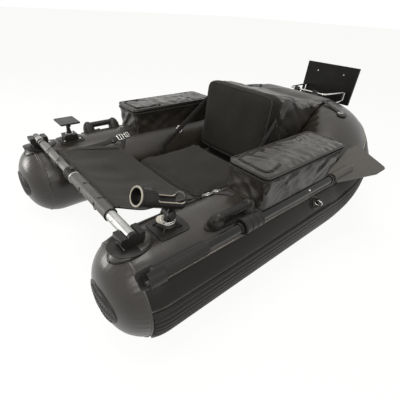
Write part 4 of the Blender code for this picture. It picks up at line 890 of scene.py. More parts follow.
@dataclass(frozen=True)
class HullForm:
    """The hull's sizes and the way from a place on its skin to a point."""

    tube_radius: float = 0.1725
    stern_radius: float = 0.191
    side_x: float = 0.4275
    tip_y: float = -0.94018
    hull_length: float = 1.70
    dome_length: float = 0.143
    dome_fullness: float = 0.76
    stern_rise: float = 0.137
    rise_length: float = 0.459
    corner_radius: float = 0.35
    floor_flat: float = 0.0035

    @property
    def root_y(self) -> float:
        """Where the bow dome meets the straight tube."""
        return self.tip_y + self.dome_length

    @property
    def stern_y(self) -> float:
        """The stern tube's axis."""
        return self.tip_y + self.hull_length - self.stern_radius

    @property
    def corner_y(self) -> float:
        """Where the stern corner starts."""
        return self.stern_y - self.corner_radius

    @property
    def corner_x(self) -> float:
        """Where the stern corner ends."""
        return self.side_x - self.corner_radius

    @property
    def straight(self) -> float:
        """Length of the straight run from the dome to the corner."""
        return self.corner_y - self.root_y

    @property
    def half_length(self) -> float:
        """Length of the axis from a dome's root to the middle of the stern."""
        return self.straight + self.corner_radius * math.pi / 2 + self.corner_x

    def plan(self, way: float) -> Point:
        """Return (x, y) of the axis at a distance from the right dome's root.

        Args:
            way: the distance.

        Returns:
            The point in plan.
        """
        if way > self.half_length:
            x, y = self.plan(2 * self.half_length - way)
            return -x, y
        if way <= self.straight:
            return self.side_x, self.root_y + way
        turn = (way - self.straight) / self.corner_radius
        if turn <= math.pi / 2:
            return (
                self.corner_x + self.corner_radius * math.cos(turn),
                self.corner_y + self.corner_radius * math.sin(turn),
            )
        return self.corner_x - (way - self.straight - self.corner_radius * math.pi / 2), self.stern_y

    def share(self, y: float) -> float:
        """Return how far the stern has risen at a station, from 0 to 1."""
        start = self.stern_y - self.rise_length
        part = min(1.0, max(0.0, (y - start) / self.rise_length))
        return part * part * (3 - 2 * part)

    def radius(self, way: float) -> float:
        """Return the tube's radius at a distance along the axis."""
        part = self.share(self.plan(way)[1])
        return self.tube_radius + (self.stern_radius - self.tube_radius) * part

    def centre(self, way: float) -> Vector:
        """Return the axis point at a distance along the axis."""
        x, y = self.plan(way)
        part = self.share(y)
        return Vector((x, y, self.radius(way) - self.floor_flat + self.stern_rise * part))

    def axes(self, way: float) -> tuple[Vector, Vector, Vector]:
        """Return the outward, upward and forward directions at a distance along the axis.

        Args:
            way: the distance.

        Returns:
            The three directions.
        """
        step = 0.002
        along = (self.centre(way + step) - self.centre(way - step)).normalized()
        level = Vector((along.x, along.y, 0)).normalized()
        outward = Vector((level.y, -level.x, 0))
        return outward, outward.cross(along), along

    def skin(self, way: float, angle: float, lift: float = 0.0) -> Vector:
        """Return a point on the hull's skin.

        Args:
            way: distance along the axis, negative on the right dome.
            angle: degrees above the outward horizontal.
            lift: height above the skin.

        Returns:
            The point, no lower than the floor.
        """
        c, s = math.cos(math.radians(angle)), math.sin(math.radians(angle))
        full = 2 * self.half_length
        over = -way if way < 0 else way - full
        if over <= 0:
            outward, up, _ = self.axes(way)
            reach = self.radius(way) + lift
            point = self.centre(way) + outward * (c * reach) + up * (s * reach)
        else:
            side = 1 if way < 0 else -1
            depth = min(1.0, over / self.dome_length)
            turn = math.acos(depth)
            reach = self.tube_radius * math.sin(turn) ** self.dome_fullness
            slope = max(0.0, math.cos(turn))
            reach += lift * math.sqrt(max(0.0, 1 - slope**2))
            ahead = over + lift * slope
            point = Vector((
                side * (self.side_x + reach * c), self.root_y - ahead,
                self.tube_radius - self.floor_flat + reach * s,
            ))
        point.z = max(0.0, point.z)
        return point


FORM = HullForm()


def wave(value: float, length: float) -> float:
    """Return a sine wave of this length at a place along it."""
    return math.sin(2 * math.pi * value / length)


def bell(value: float, middle: float, width: float) -> float:
    """Return a smooth bump of height 1 about a middle."""
    return math.exp(-(((value - middle) / width) ** 2))


def there_and_back(value: float) -> float:
    """Return a share that goes up to 1 at a half and back to 0 at 1."""
    return value * 2 if value <= 0.5 else 2 - value * 2


@dataclass(frozen=True)
class Hull:
    """The inflated hull: skin, seams, side panels, ribbed strake and bow pads."""

    rings: int = 470
    sides: int = 132
    band_rings: int = 330
    seam_way: float = -0.062
    panel_angles: Point = (16.0, 41.0)
    strake_angles: Point = (-35.0, 15.0)
    strake_ribs: int = 8
    full: float = 2 * FORM.half_length
    dome_zone: float = 0.12
    pucker: Triple = (0.024, 0.0016, 0.022)
    corner_way: float = 0.275
    corner_reach: float = 0.26
    corner_fold: Point = (0.047, 0.0045)
    tape_width: float = 0.013
    pad_half: Point = (0.086, 0.058)
    pad_rise: float = 0.0035
    pad_ridge: Point = (0.0115, 0.0017)

    def skin_point(self, u: float, v: float) -> Vector:
        """Return a point of the skin with its puckers and slack.

        Args:
            u: share of the way along the hull.
            v: share of the way round it, from below.

        Returns:
            The point.
        """
        reach, zone = FORM.dome_length, self.dome_zone
        way = -reach + (self.full + 2 * reach) * u
        angle = 360.0 * v - 90.0
        edge = min(way + reach, self.full + reach - way)
        if edge < zone:
            share = edge / zone
            near = reach * (1 - math.cos(math.acos(max(-1.0, 1 - zone / reach)) * share))
            way = -reach + near if u < 0.5 else self.full + reach - near
            edge = near
        return FORM.skin(way, angle, self.slack(way, angle, edge))

    def slack(self, way: float, angle: float, edge: float) -> float:
        """Return how far the skin stands off its ideal round.

        Args:
            way: distance along the axis.
            angle: degrees above the outward horizontal.
            edge: distance from the nearer tip.

        Returns:
            The height of the mottle, the seam's puckers and the corner's folds.
        """
        fade = min(1.0, edge / 0.03)
        girth = math.radians(angle) * FORM.tube_radius
        point = Vector((girth * 7, way * 7, 3.1))
        mottle = 0.0012 * noise.noise(point) * fade
        length, height, spread = self.pucker
        off = abs(edge - FORM.dome_length - self.seam_way)
        ripple = wave(girth + 0.004 * noise.noise(point * 2), length)
        pucker = height * ripple * (math.exp(-off / spread) - math.exp(-off / 0.004)) * fade
        middle = FORM.straight + self.corner_way
        corner = min(abs(way - middle), abs(self.full - way - middle))
        inner = max(0.0, -math.cos(math.radians(angle)))
        length, height = self.corner_fold
        crease = wave(way + 0.012 * noise.noise(Vector((way * 9, angle / 40, 0.5))), length)
        fold = height * inner**2 * bell(corner, 0.0, self.corner_reach) * crease
        return mottle + pucker + fold

    def build(self) -> None:
        """Make every piece of the hull."""
        length = self.full + 2 * FORM.dome_length
        girth = 2 * math.pi * FORM.tube_radius
        shape = loft(self.rings, self.sides, self.skin_point, (length, girth))
        skin = finished("hull_skin", shape, HULL, sharp=60)
        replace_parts(skin, "hull_right_tube", "hull_left_tube", "hull_stern_tube")
        self.strake()
        low, high = self.panel_angles
        self.band("side_panel", HULL_SIDE, low, high, 0.0012, self.seam_way + 0.004)
        # Pale strip on the side panel's upper seam: a painted highlight line, not a light-coloured
        # welt.
        self.band("side_panel_welt_painted_highlight", WELT_HIGHLIGHT, high - 0.5, high + 0.7, 0.0028, self.seam_way)
        self.band("strake_welt", HULL_TAPE, low - 0.8, low + 1.6, 0.0030, self.seam_way)
        self.dome_seams()
        self.bow_pad()

    def band(self, name: str, finish: Finish, low: float, high: float, lift: float,
             start: float) -> None:
        """Add a strip of skin round the outside of the whole hull.

        Args:
            name: its name.
            finish: its finish.
            low: its lower edge, in degrees above the outward horizontal.
            high: its upper edge.
            lift: its height above the skin.
            start: where it starts along the axis.
        """
        length = self.full - 2 * start
        steps = max(2, round((high - low) / 2))

        def place(u: float, v: float) -> Vector:
            """Return a point of the strip's closed section."""
            way = start + length * u
            rise = lift if 0 < v < 0.5 else -0.002
            return FORM.skin(way, low + (high - low) * there_and_back(v), rise)

        width = math.radians(high - low) * FORM.tube_radius
        shape = loft(self.band_rings, 2 * steps, place, (length, 2 * width))
        finished(name, shape, finish, sharp=50)

    def strake(self) -> None:
        """The ribbed rubber strake round the outside of the hull."""
        start = self.seam_way + 0.006
        length = self.full - 2 * start
        low, high = self.strake_angles
        front_share, under = 0.75, -0.001

        def place(u: float, v: float) -> Vector:
            """Return a point of the strake's closed section, its ribbed face first."""
            way = start + length * u
            if v > front_share:
                share = (v - front_share) / (1 - front_share)
                return FORM.skin(way, high - (high - low) * share, under)
            share = v / front_share
            ridge = (0.5 - 0.5 * math.cos(2 * math.pi * self.strake_ribs * share)) ** 0.6
            rise = 0.0034 + 0.0038 * ridge if 0 < share < 1 else under
            return FORM.skin(way, low + (high - low) * share, rise)

        shape = loft(self.band_rings, 12 * self.strake_ribs, place, (length, 0.2))
        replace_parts(finished("strake", shape, STRAKE, sharp=50), "rubbing_band")

    def dome_seams(self) -> None:
        """The stitched tape over the seam of each bow dome, with its stitches."""

        def place(u: float, v: float) -> Vector:
            """Return a point of the tape's closed section."""
            lift = 0.0016 if 0 < v < 0.5 else -0.001
            across = self.tape_width * (there_and_back(v) - 0.5)
            return FORM.skin(self.seam_way + across, 360.0 * u, lift)

        tape = finished("dome_seam_right", loft(120, 8, place, (1.08, 0.03), True), HULL_TAPE)
        mirrored(tape, "dome_seam_left")
        stitches = []
        for step in range(0, 360, 4):
            ends = [FORM.skin(self.seam_way - 0.003, step + turn, 0.0022) for turn in (0, 1.2, 2.4)]
            stitches.append(sweep(ends, circle(0.0007, 6)))
        row = finished("dome_stitches_right", joined(*stitches), THREAD)
        mirrored(row, "dome_stitches_left")

    def bow_pad(self) -> None:
        """The ribbed rubber bumper on the nose of each bow dome."""
        half_wide, half_high = self.pad_half
        pitch, height = self.pad_ridge

        def place(u: float, v: float) -> Vector:
            """Return a point of the pad, from its middle out and back underneath."""
            turn = 2 * math.pi * u
            share = there_and_back(v)
            x = half_wide * share * math.cos(turn)
            z = half_high * share * math.sin(turn)
            ridge = height * wave(x + 0.005 * wave(z, 0.036), pitch) if share < 0.9 else 0.0
            lift = self.pad_rise + ridge if v < 0.5 and share < 1 else -0.001
            sine = min(1.0, math.hypot(x, z) / FORM.tube_radius) ** (1 / FORM.dome_fullness)
            ahead = FORM.dome_length * math.sqrt(1 - sine**2) + lift
            centre = FORM.tube_radius - FORM.floor_flat
            return Vector((FORM.side_x + x, FORM.root_y - ahead, centre + z))

        pad = finished("bow_pad_right", loft(72, 72, place, (0.5, 0.2), True), BOW_PAD, sharp=60)
        mirrored(pad, "bow_pad_left")


def tube_point(y: float, angle: float, lift: float = 0.0) -> Vector:
    """Return a point above the right tube's skin at a station and an angle."""
    return FORM.skin(y - FORM.root_y, angle, lift)


def tube_normal(y: float, angle: float) -> Vector:
    """Return the outward direction of the right tube's skin."""
    return (tube_point(y, angle, 0.01) - tube_point(y, angle)).normalized()


def tube_frame(y: float, angle: float, lift: float = 0.0) -> Matrix:
    """Return a frame on the right tube: Y astern, Z outwards.

    Args:
        y: its station.
        angle: its angle on the tube.
        lift: its height above the skin.

    Returns:
        The frame.
    """
    up = tube_normal(y, angle)
    astern = Vector((0, 1, 0))
    side = astern.cross(up).normalized()
    place = Matrix([[side[k], astern[k], up[k]] for k in range(3)]).to_4x4()
    place.translation = tube_point(y, angle, lift)
    return place


def frame_at(spot: Sequence[float], up: Sequence[float], ahead: Sequence[float]) -> Matrix:
    """Return a frame at a spot: Z along up, Y as near to ahead as it can be.

    Args:
        spot: its origin.
        up: the direction of its Z axis.
        ahead: the way its Y axis looks.

    Returns:
        The frame.
    """
    rise = Vector(up).normalized()
    side = Vector(ahead).cross(rise).normalized()
    front = rise.cross(side)
    place = Matrix([[side[k], front[k], rise[k]] for k in range(3)]).to_4x4()
    place.translation = Vector(spot)
    return place


@dataclass(frozen=True)
class Webbing:
    """Flat straps with their buckles, D-rings and sliders."""

    width: float = 0.025
    thickness: float = 0.0018
    side_line: tuple[Point, ...] = (
        (-0.800, 118), (-0.740, 121), (-0.66, 124), (-0.58, 123), (-0.50, 120), (-0.43, 116),
        (-0.375, 113),
    )
    tie_line: tuple[Point, ...] = (
        (-0.40, 90), (-0.415, 104), (-0.44, 120), (-0.47, 136), (-0.505, 150), (-0.545, 161)
    )
    back_top: Triple = (0.2375, 0.0560, 0.4920)
    back_foot: Triple = (0.2720, -0.2440, 0.2420)
    back_sag: Triple = (0.004, 0.0, -0.006)

    def strap(self, name: str, points: Sequence[Vector], normals: Sequence[Vector],
              body: str | None = "hull") -> Piece:
        """Make a strap that lies along a line.

        Args:
            name: its name.
            points: the line under its middle.
            normals: the way its face looks at each point.
            body: the CAD body that it moves with.

        Returns:
            The piece.
        """
        shape = sweep(points, ribbon(self.width, self.thickness), normals)
        return finished(name, shape, WEBBING, body, sharp=70)

    def on_tube(self, name: str, stations: Sequence[Point], lift: float) -> Piece:
        """Make a strap that lies on the right tube.

        Args:
            name: its name.
            stations: stations and angles of the places that it passes.
            lift: its height above the tube.

        Returns:
            The piece.
        """
        path = smooth_path([tube_point(y, angle, lift) for y, angle in stations])
        level = FORM.tube_radius - FORM.floor_flat
        normals = [
            tube_normal(p.y, math.degrees(math.atan2(p.z - level, p.x - FORM.side_x))) for p in path
        ]
        return self.strap(name, path, normals)

    @staticmethod
    def slider(place: Matrix, width: float, length: float, wire: float) -> Shape:
        """Return a wire frame with a cross bar, lying on its local XY plane.

        Args:
            place: its middle.
            width: its width.
            length: its length.
            wire: radius of its wire.

        Returns:
            The mesh.
        """
        half, reach, corner = width / 2, length / 2, 0.004
        outline = []
        for side, end, first in ((1, 1, 0), (-1, 1, 90), (-1, -1, 180), (1, -1, 270)):
            for turn in (0, 30, 60, 90):
                x, y, _ = polar(corner, first + turn)
                off = Vector((side * (half - corner) + x, end * (reach - corner) + y, 0))
                outline.append(place @ off)
        bar = [place @ Vector((x, 0, 0)) for x in (-half, 0.0, half)]
        return joined(sweep(outline, circle(wire), closed=True), sweep(bar, circle(wire)))

    @staticmethod
    def d_ring(place: Matrix, radius: float, wire: float) -> Shape:
        """Return a D of wire on its local XY plane, its straight side along X.

        Args:
            place: the middle of its straight side.
            radius: radius of its bow.
            wire: radius of its wire.

        Returns:
            The mesh.
        """
        outline = [place @ Vector(polar(radius, turn)) for turn in range(0, 181, 15)]
        outline.append(place @ Vector((0, 0, 0)))
        return sweep(outline, circle(wire, 8), closed=True)

    def build(self) -> None:
        """Make every strap."""
        self.side_straps()
        self.back_straps()
        self.seat_ties()

    def side_straps(self) -> None:
        """The strap along the inner shoulder of each tube, with its chrome slider."""
        strap = self.on_tube("side_webbing_right", self.side_line, 0.0012)
        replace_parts(strap, "side_strap_right")
        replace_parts(mirrored(strap, "side_webbing_left"), "side_strap_left")
        slider = self.slider(tube_frame(-0.455, 117.5, 0.0050), 0.034, 0.030, 0.0019)
        paired("side_slider", slider, STAINLESS)
        ring = self.slider(tube_frame(-0.415, 115.5, 0.0050), 0.032, 0.022, 0.0018)
        paired("side_ring", ring, STAINLESS)
        keeper = cuboid((0.032, 0.020, 0.0085), tube_frame(-0.500, 120, 0.0035), 0.0015)
        paired("side_keeper", keeper, BLACK_PLASTIC)

    def back_straps(self) -> None:
        """The strap from each side of the seat back down to its tube, bent between the two."""
        top, foot, sag = Vector(self.back_top), Vector(self.back_foot), Vector(self.back_sag)
        line = [top, top.lerp(foot, 0.3) + sag, top.lerp(foot, 0.7) + sag, foot]
        path = smooth_path(line, 10)
        along = (foot - top).normalized()
        outward = along.cross(Vector((0, 0, 1))).normalized()
        if outward.x < 0:
            outward = -outward
        strap = self.strap("back_webbing_right", path, [outward] * len(path), None)
        other = mirrored(strap, "back_webbing_left", None)
        at = frame_at(top.lerp(foot, 0.62) + sag + outward * 0.003, outward, along)
        wire = self.slider(at, 0.036, 0.028, 0.0021)
        buckle = finished("back_buckle_right", wire, STAINLESS, None)
        twin = mirrored(buckle, "back_buckle_left", None)
        tab_at = frame_at(top.lerp(foot, 0.50) + sag + outward * 0.002, outward, along)
        plate = cuboid((0.026, 0.060, 0.0024), tab_at, 0.0008)
        tab = finished("back_tab_right", plate, WEBBING, None)
        tab_twin = mirrored(tab, "back_tab_left", None)
        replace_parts(strap, "back_strap_right")
        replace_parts(other, "back_strap_left")
        for side, pieces in ((1, (strap, buckle, tab)), (-1, (other, twin, tab_twin))):
            for piece in pieces:
                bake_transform(piece)
        patch = disc(0.024, 0.0026, tube_frame(foot.y, 155.0, 0.0004))
        paired("back_strap_patch", patch, PATCH)

    def seat_ties(self) -> None:
        """The dark strap down the inner side of each tube, in front of the seat."""
        mirrored(self.on_tube("seat_tie_right", self.tie_line, 0.0010), "seat_tie_left")


@dataclass(frozen=True)
class Seat:
    """Deck, cushion and back, all of filled or stretched cloth."""

    cell: float = 0.006
    deck_flat: Point = (0.512, 0.455)
    deck_wrinkle: float = 0.0008
    cushion_filling: Filling = Filling(5.0, 0.015, 0.008, 0.8)
    cushion_half: float = 0.236
    cushion_insets: Point = (0.012, 0.014)
    cushion_corner: float = 0.030
    cushion_flare: float = 0.030
    thigh_dent: float = 0.0035
    thigh_x: float = 0.09
    folded_share: float = 0.72
    pivot: Triple = (0.0, -0.00518, 0.2353)
    lean: float = 5.6
    back_filling: Filling = Filling(6.0, 0.02, 0.007, 0.8)
    back_half: float = 0.235
    piping_half: float = 0.230
    piping_ends: Point = (0.006, 0.366)
    piping_corner: float = 0.045
    piping_depths: Point = (0.012, -0.088)

    def build(self) -> None:
        """Make the seat's pieces."""
        self.deck()
        self.cushion()
        self.back()

    def deck(self) -> None:
        """The fabric deck under the cushion, stretched between the tubes."""
        shape = from_node("seat_deck", self.cell, 1)
        for corner in shape.verts:
            x, y, _ = corner.co
            corner.co.z += self.deck_wrinkle * noise.noise(Vector((x * 14, y * 14, 1.7)))
        deck = finished("deck_cloth", shape, SEAT_CLOTH)
        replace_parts(deck, "seat_deck")

    def cushion(self) -> None:
        """The thin seat cushion with piping round its top edge."""
        shape = from_node("seat_cushion", self.cell, 4)
        low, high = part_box("seat_cushion")
        glued = low[2] + 0.012
        filled(shape, self.cushion_filling, lambda p: p.z < glued)
        for corner in shape.verts:
            x, y, z = corner.co
            share = min(1.0, max(0.0, (z - low[2]) / 0.03))
            corner.co.x = x * (1 + self.cushion_flare * share)
            dip = bell(x, self.thigh_x, 0.07) + bell(x, -self.thigh_x, 0.07)
            corner.co.z -= self.thigh_dent * dip * bell(y, -0.20, 0.12) * share
        front, rear = self.cushion_insets
        outline = rounded_loop(
            self.cushion_half, low[1] + front, high[1] - rear, self.cushion_corner
        )
        guide = [Vector((x, y, high[2] + 0.02)) for x, y in outline]
        line, normals = hugged(guide, shape, 0.0006)
        piping = sweep(line, circle(0.0030, 8), normals, closed=True)
        cushion = finished("cushion", shape, SEAT_CLOTH, refine=1)
        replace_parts(cushion, "seat_cushion")
        rim = finished("cushion_piping", piping, PIPING)
        for piece in (cushion, rim):
            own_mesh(piece)

    def back(self) -> None:
        """The thick seat back with piping round its front and rear panels."""
        shape = from_node("seat_back", self.cell, 5)
        pivot = Vector(self.pivot)
        lean = math.radians(self.lean)
        up = Vector((0, math.sin(lean), math.cos(lean)))
        front = Vector((0, -math.cos(lean), math.sin(lean)))
        filled(shape, self.back_filling, lambda p: (p - pivot).dot(up) < 0.02)
        for corner in shape.verts:
            height = (corner.co - pivot).dot(up)
            wide = min(1.0, abs(corner.co.x) / self.back_half)
            if (corner.co - pivot).dot(front) > -0.035:
                quilt = noise.noise(Vector((corner.co.x * 8, height * 8, 2.0)))
                corner.co += front * 0.004 * quilt
                corner.co -= front * 0.010 * wide**6
        outline = rounded_loop(self.piping_half, *self.piping_ends, self.piping_corner)
        for name, depth in zip(("back_piping_front", "back_piping_rear"), self.piping_depths):
            guide = [pivot + Vector((x, 0, 0)) + up * y + front * depth for x, y in outline]
            line, normals = hugged(guide, shape, 0.0004)
            finished(name, sweep(line, circle(0.0032, 8), normals, closed=True), PIPING, "back")
        back = finished("back_pad", shape, BACK_CLOTH, "back", refine=1)
        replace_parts(back, "seat_back")


@dataclass(frozen=True)
class RearCover:
    """The nylon storage cover behind the seat back, draped over the stern, and its tabs."""

    cell: float = 0.007
    filling: Filling = Filling(1.5, 0.02, 0.004, 0.08)
    half: float = 0.225
    seat_z: float = 0.30
    fall: float = 0.24
    fall_start: float = 0.19
    sag: float = 0.014
    clearances: Triple = (0.004, 0.011, 0.007)
    side_fold: float = 0.016
    top_fold: float = 0.014
    tab_turn: float = 0.82
    tab_start: Point = (0.216, 0.490)
    ring_radius: float = 0.014
    patch_radius: float = 0.026

    def build(self) -> None:
        """Make the cover and its tabs."""
        self.cover()
        self.tabs()

    @staticmethod
    def stern_skin(x: float, y: float) -> float:
        """Return the height of the stern's skin at a place right of the middle.

        Args:
            x: distance from the middle.
            y: its station.

        Returns:
            The height.
        """
        start, step = FORM.straight + 0.18, 0.02
        count = round((FORM.half_length - start) / step) + 1
        ways = [start + step * index for index in range(count)]
        way = min(ways, key=lambda at: math.dist(FORM.plan(at), (x, y)))
        centre, radius = FORM.centre(way), FORM.radius(way)
        reach = min(radius, math.dist((centre.x, centre.y), (x, y)))
        return centre.z + math.sqrt(radius**2 - reach**2)

    def cover(self) -> None:
        """The cover itself, with its hollow top and its folds."""
        shape = from_node("rear_bag", self.cell, 5)
        low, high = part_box("rear_bag")
        foot, drape, least = self.clearances
        for vertex in shape.verts:
            x, y, z = vertex.co
            skin = self.stern_skin(abs(x), y)
            floor = max(self.seat_z, skin + foot)
            if z <= floor:
                continue
            top = high[2] - self.fall * max(0.0, y - self.fall_start)
            top -= self.sag * (1 - (x / self.half) ** 2) * bell(y, 0.32, 0.14)
            top = max(top, skin + drape)
            share = (z - floor) / (high[2] - floor)
            vertex.co.z = floor + share * (top - floor)
            slant = noise.noise(Vector((y * 12 + z * 11, z * 4 + x * 3, x * 5)))
            side = min(1.0, abs(x) / 0.2) * min(1.0, max(0.0, y - 0.10) / 0.03)
            vertex.co.x += math.copysign(self.side_fold * (0.2 - abs(slant)), x) * side
            cross = noise.noise(Vector((x * 9 - y * 10, y * 5, 3.3)))
            loose = share * min(1.0, max(0.0, y - 0.12) / 0.05)
            vertex.co.z += self.top_fold * (0.35 - abs(cross)) * loose
        hem = low[2] + 0.05
        filled(
            shape, self.filling,
            lambda p: p.z < hem or p.y > high[1] - 0.012 or p.y < 0.078 + (p.z - low[2]) * 0.098,
        )
        for vertex in shape.verts:
            x, y, z = vertex.co
            skin = self.stern_skin(abs(x), y)
            if skin - 0.01 < z < skin + least and z > hem:
                vertex.co.z = skin + least
        cover = finished("rear_cover", shape, BAG_NYLON, refine=1)
        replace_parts(cover, "rear_bag")

    def tabs(self) -> None:
        """The strap, D-ring and patch at each rear corner of the cover."""
        way = FORM.straight + FORM.corner_radius * self.tab_turn
        spot = FORM.skin(way, 90.0, 0.003)
        up = (FORM.skin(way, 90.0, 0.02) - spot).normalized()
        x, y = self.tab_start
        start = Vector((x, y, self.stern_skin(x, y) + 0.016))
        middle = start.lerp(spot, 0.55)
        middle.z = max(middle.z, self.stern_skin(middle.x, middle.y) + 0.004)
        path = smooth_path([start, middle, spot], 8)
        shape = sweep(path, ribbon(0.022, 0.0020), [up] * len(path))
        paired("cover_tab", shape, WEBBING, sharp=70)
        along = (spot - start).normalized()
        ring = Webbing.d_ring(frame_at(spot + up * 0.003, up, along), self.ring_radius, 0.0018)
        paired("cover_ring", ring, STAINLESS)
        patch_at = frame_at(spot + along * 0.016 - up * 0.001, up, along)
        patch = disc(self.patch_radius, 0.0024, patch_at)
        paired("cover_patch", patch, PATCH)


@dataclass(frozen=True)
class Apron:
    """The mesh sheet that hangs from the bar down to the front of the seat."""

    front: float = -0.792
    rear: float = -0.442
    bow: float = 0.048
    high: float = 0.3565
    middle_low: float = 0.236
    side_low: float = 0.300
    slack: float = 0.022
    half: float = 0.262
    flare: float = 0.043
    flat: Point = (0.60, 0.40)
    thickness: float = 0.0018
    tie_places: tuple[float, ...] = (-0.235, -0.12, 0.0, 0.12, 0.235)

    def build(self) -> None:
        """Make the sheet with its tapes, lacing and tabs."""
        self.sheet()
        self.tapes()
        self.ties()
        self.tabs()

    def place(self, u: float, share: float) -> Vector:
        """Return a point of the sheet.

        Args:
            u: share of the way across, from the left.
            share: share of the way from the bar to the seat.

        Returns:
            The point.
        """
        across = 2 * u - 1
        loose = math.sin(math.pi * share)
        y = self.front + (self.rear - self.bow * across**2 - self.front) * share
        middle = self.high + (self.middle_low - self.high) * share - self.slack * loose
        side = self.high + (self.side_low - self.high) * share**0.8
        z = middle + (side - middle) * abs(across) ** 2.2
        z += 0.003 * wave(u + 0.1 * share, 0.21) * loose
        z += 0.005 * noise.noise(Vector((u * 8, share * 4, 0.4))) * loose
        opened = min(1.0, share / 0.35)
        half = self.half + self.flare * opened * opened * (3 - 2 * opened)
        return Vector((across * half, y, z))

    def sheet(self) -> None:
        """The sheet itself."""
        shape = loft(110, 60, self.place, self.flat, open_section=True)
        sheet = finished("apron_sheet", shape, APRON_CLOTH, sharp=70, thick=self.thickness)
        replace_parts(sheet, "apron")

    def tapes(self) -> None:
        """The tape along each of the apron's edges."""
        steps = [step / 40 for step in range(41)]
        for name, u, side in (("left", 0.012, 1), ("right", 0.988, -1)):
            path = [self.place(u, share) + Vector((0, 0, 0.0012)) for share in steps]
            normals = [Vector((side * 0.35, 0.2, 1.0)).normalized()] * len(path)
            tape = sweep(path, ribbon(0.020, 0.0016), normals)
            finished("apron_tape_" + name, tape, HEM, sharp=70)
        ups = [Vector((0, -0.5, 1.0)).normalized()] * len(steps)
        for name, share, width in (("rear", 0.97, 0.018), ("front", 0.035, 0.024)):
            path = [self.place(u, share) + Vector((0, 0, 0.0014)) for u in steps]
            tape = sweep(path, ribbon(width, 0.0016), ups)
            finished("apron_tape_" + name, tape, HEM, sharp=70)

    def ties(self) -> None:
        """The lacing that holds the apron to the bar."""
        loop = ((-0.796, 0.352), (-0.8035, 0.384), (-0.8252, 0.3945), (-0.8470, 0.380),
                (-0.845, 0.357), (-0.818, 0.347))
        ways = ((1, 0.1), (0.8, 0.6), (0, 1), (-0.8, 0.6), (-0.8, -0.6), (0.1, -1))
        normals = [Vector((0, *way)) for way in ways]
        ties = []
        for x in self.tie_places:
            points = [Vector((x, *place)) for place in loop]
            ties.append(sweep(points, ribbon(0.008, 0.0012), normals, closed=True))
        finished("apron_ties", joined(*ties), BLACK_PLASTIC, sharp=70)

    def tabs(self) -> None:
        """The tab from each rear corner to its tube."""
        corner = self.place(0.99, 0.985)
        grip = tube_point(corner.y, 128.5, 0.0030)
        across = (grip - corner).normalized()
        line = [corner - across * 0.018, corner, grip]
        tab = sweep(line, ribbon(0.022, self.thickness), [Vector((0, 0, 1))] * 3)
        paired("apron_tab", tab, WEBBING, sharp=70)


def rounded_loop(half: float, low: float, high: float, corner: float) -> list[Point]:
    """Return the points of a rectangle with round corners, even along its sides.

    Args:
        half: half its width, about 0.
        low: its low end.
        high: its high end.
        corner: radius of its corners.

    Returns:
        The points, anticlockwise.
    """
    step = 0.012
    points: list[Point] = []
    centres = (
        (half - corner, high - corner, 0), (-half + corner, high - corner, 90),
        (-half + corner, low + corner, 180), (half - corner, low + corner, 270),
    )
    for index, (x, y, first) in enumerate(centres):
        for turn in range(0, 91, 15):
            across, above, _ = polar(corner, first + turn)
            points.append((x + across, y + above))
        next_x, next_y, next_first = centres[(index + 1) % 4]
        across, above, _ = polar(corner, next_first)
        target = (next_x + across, next_y + above)
        run = math.dist(points[-1], target)
        start = points[-1]
        for part in range(1, int(run / step)):
            share = part * step / run
            points.append((
                start[0] + (target[0] - start[0]) * share, start[1] + (target[1] - start[1]) * share
            ))
    return points


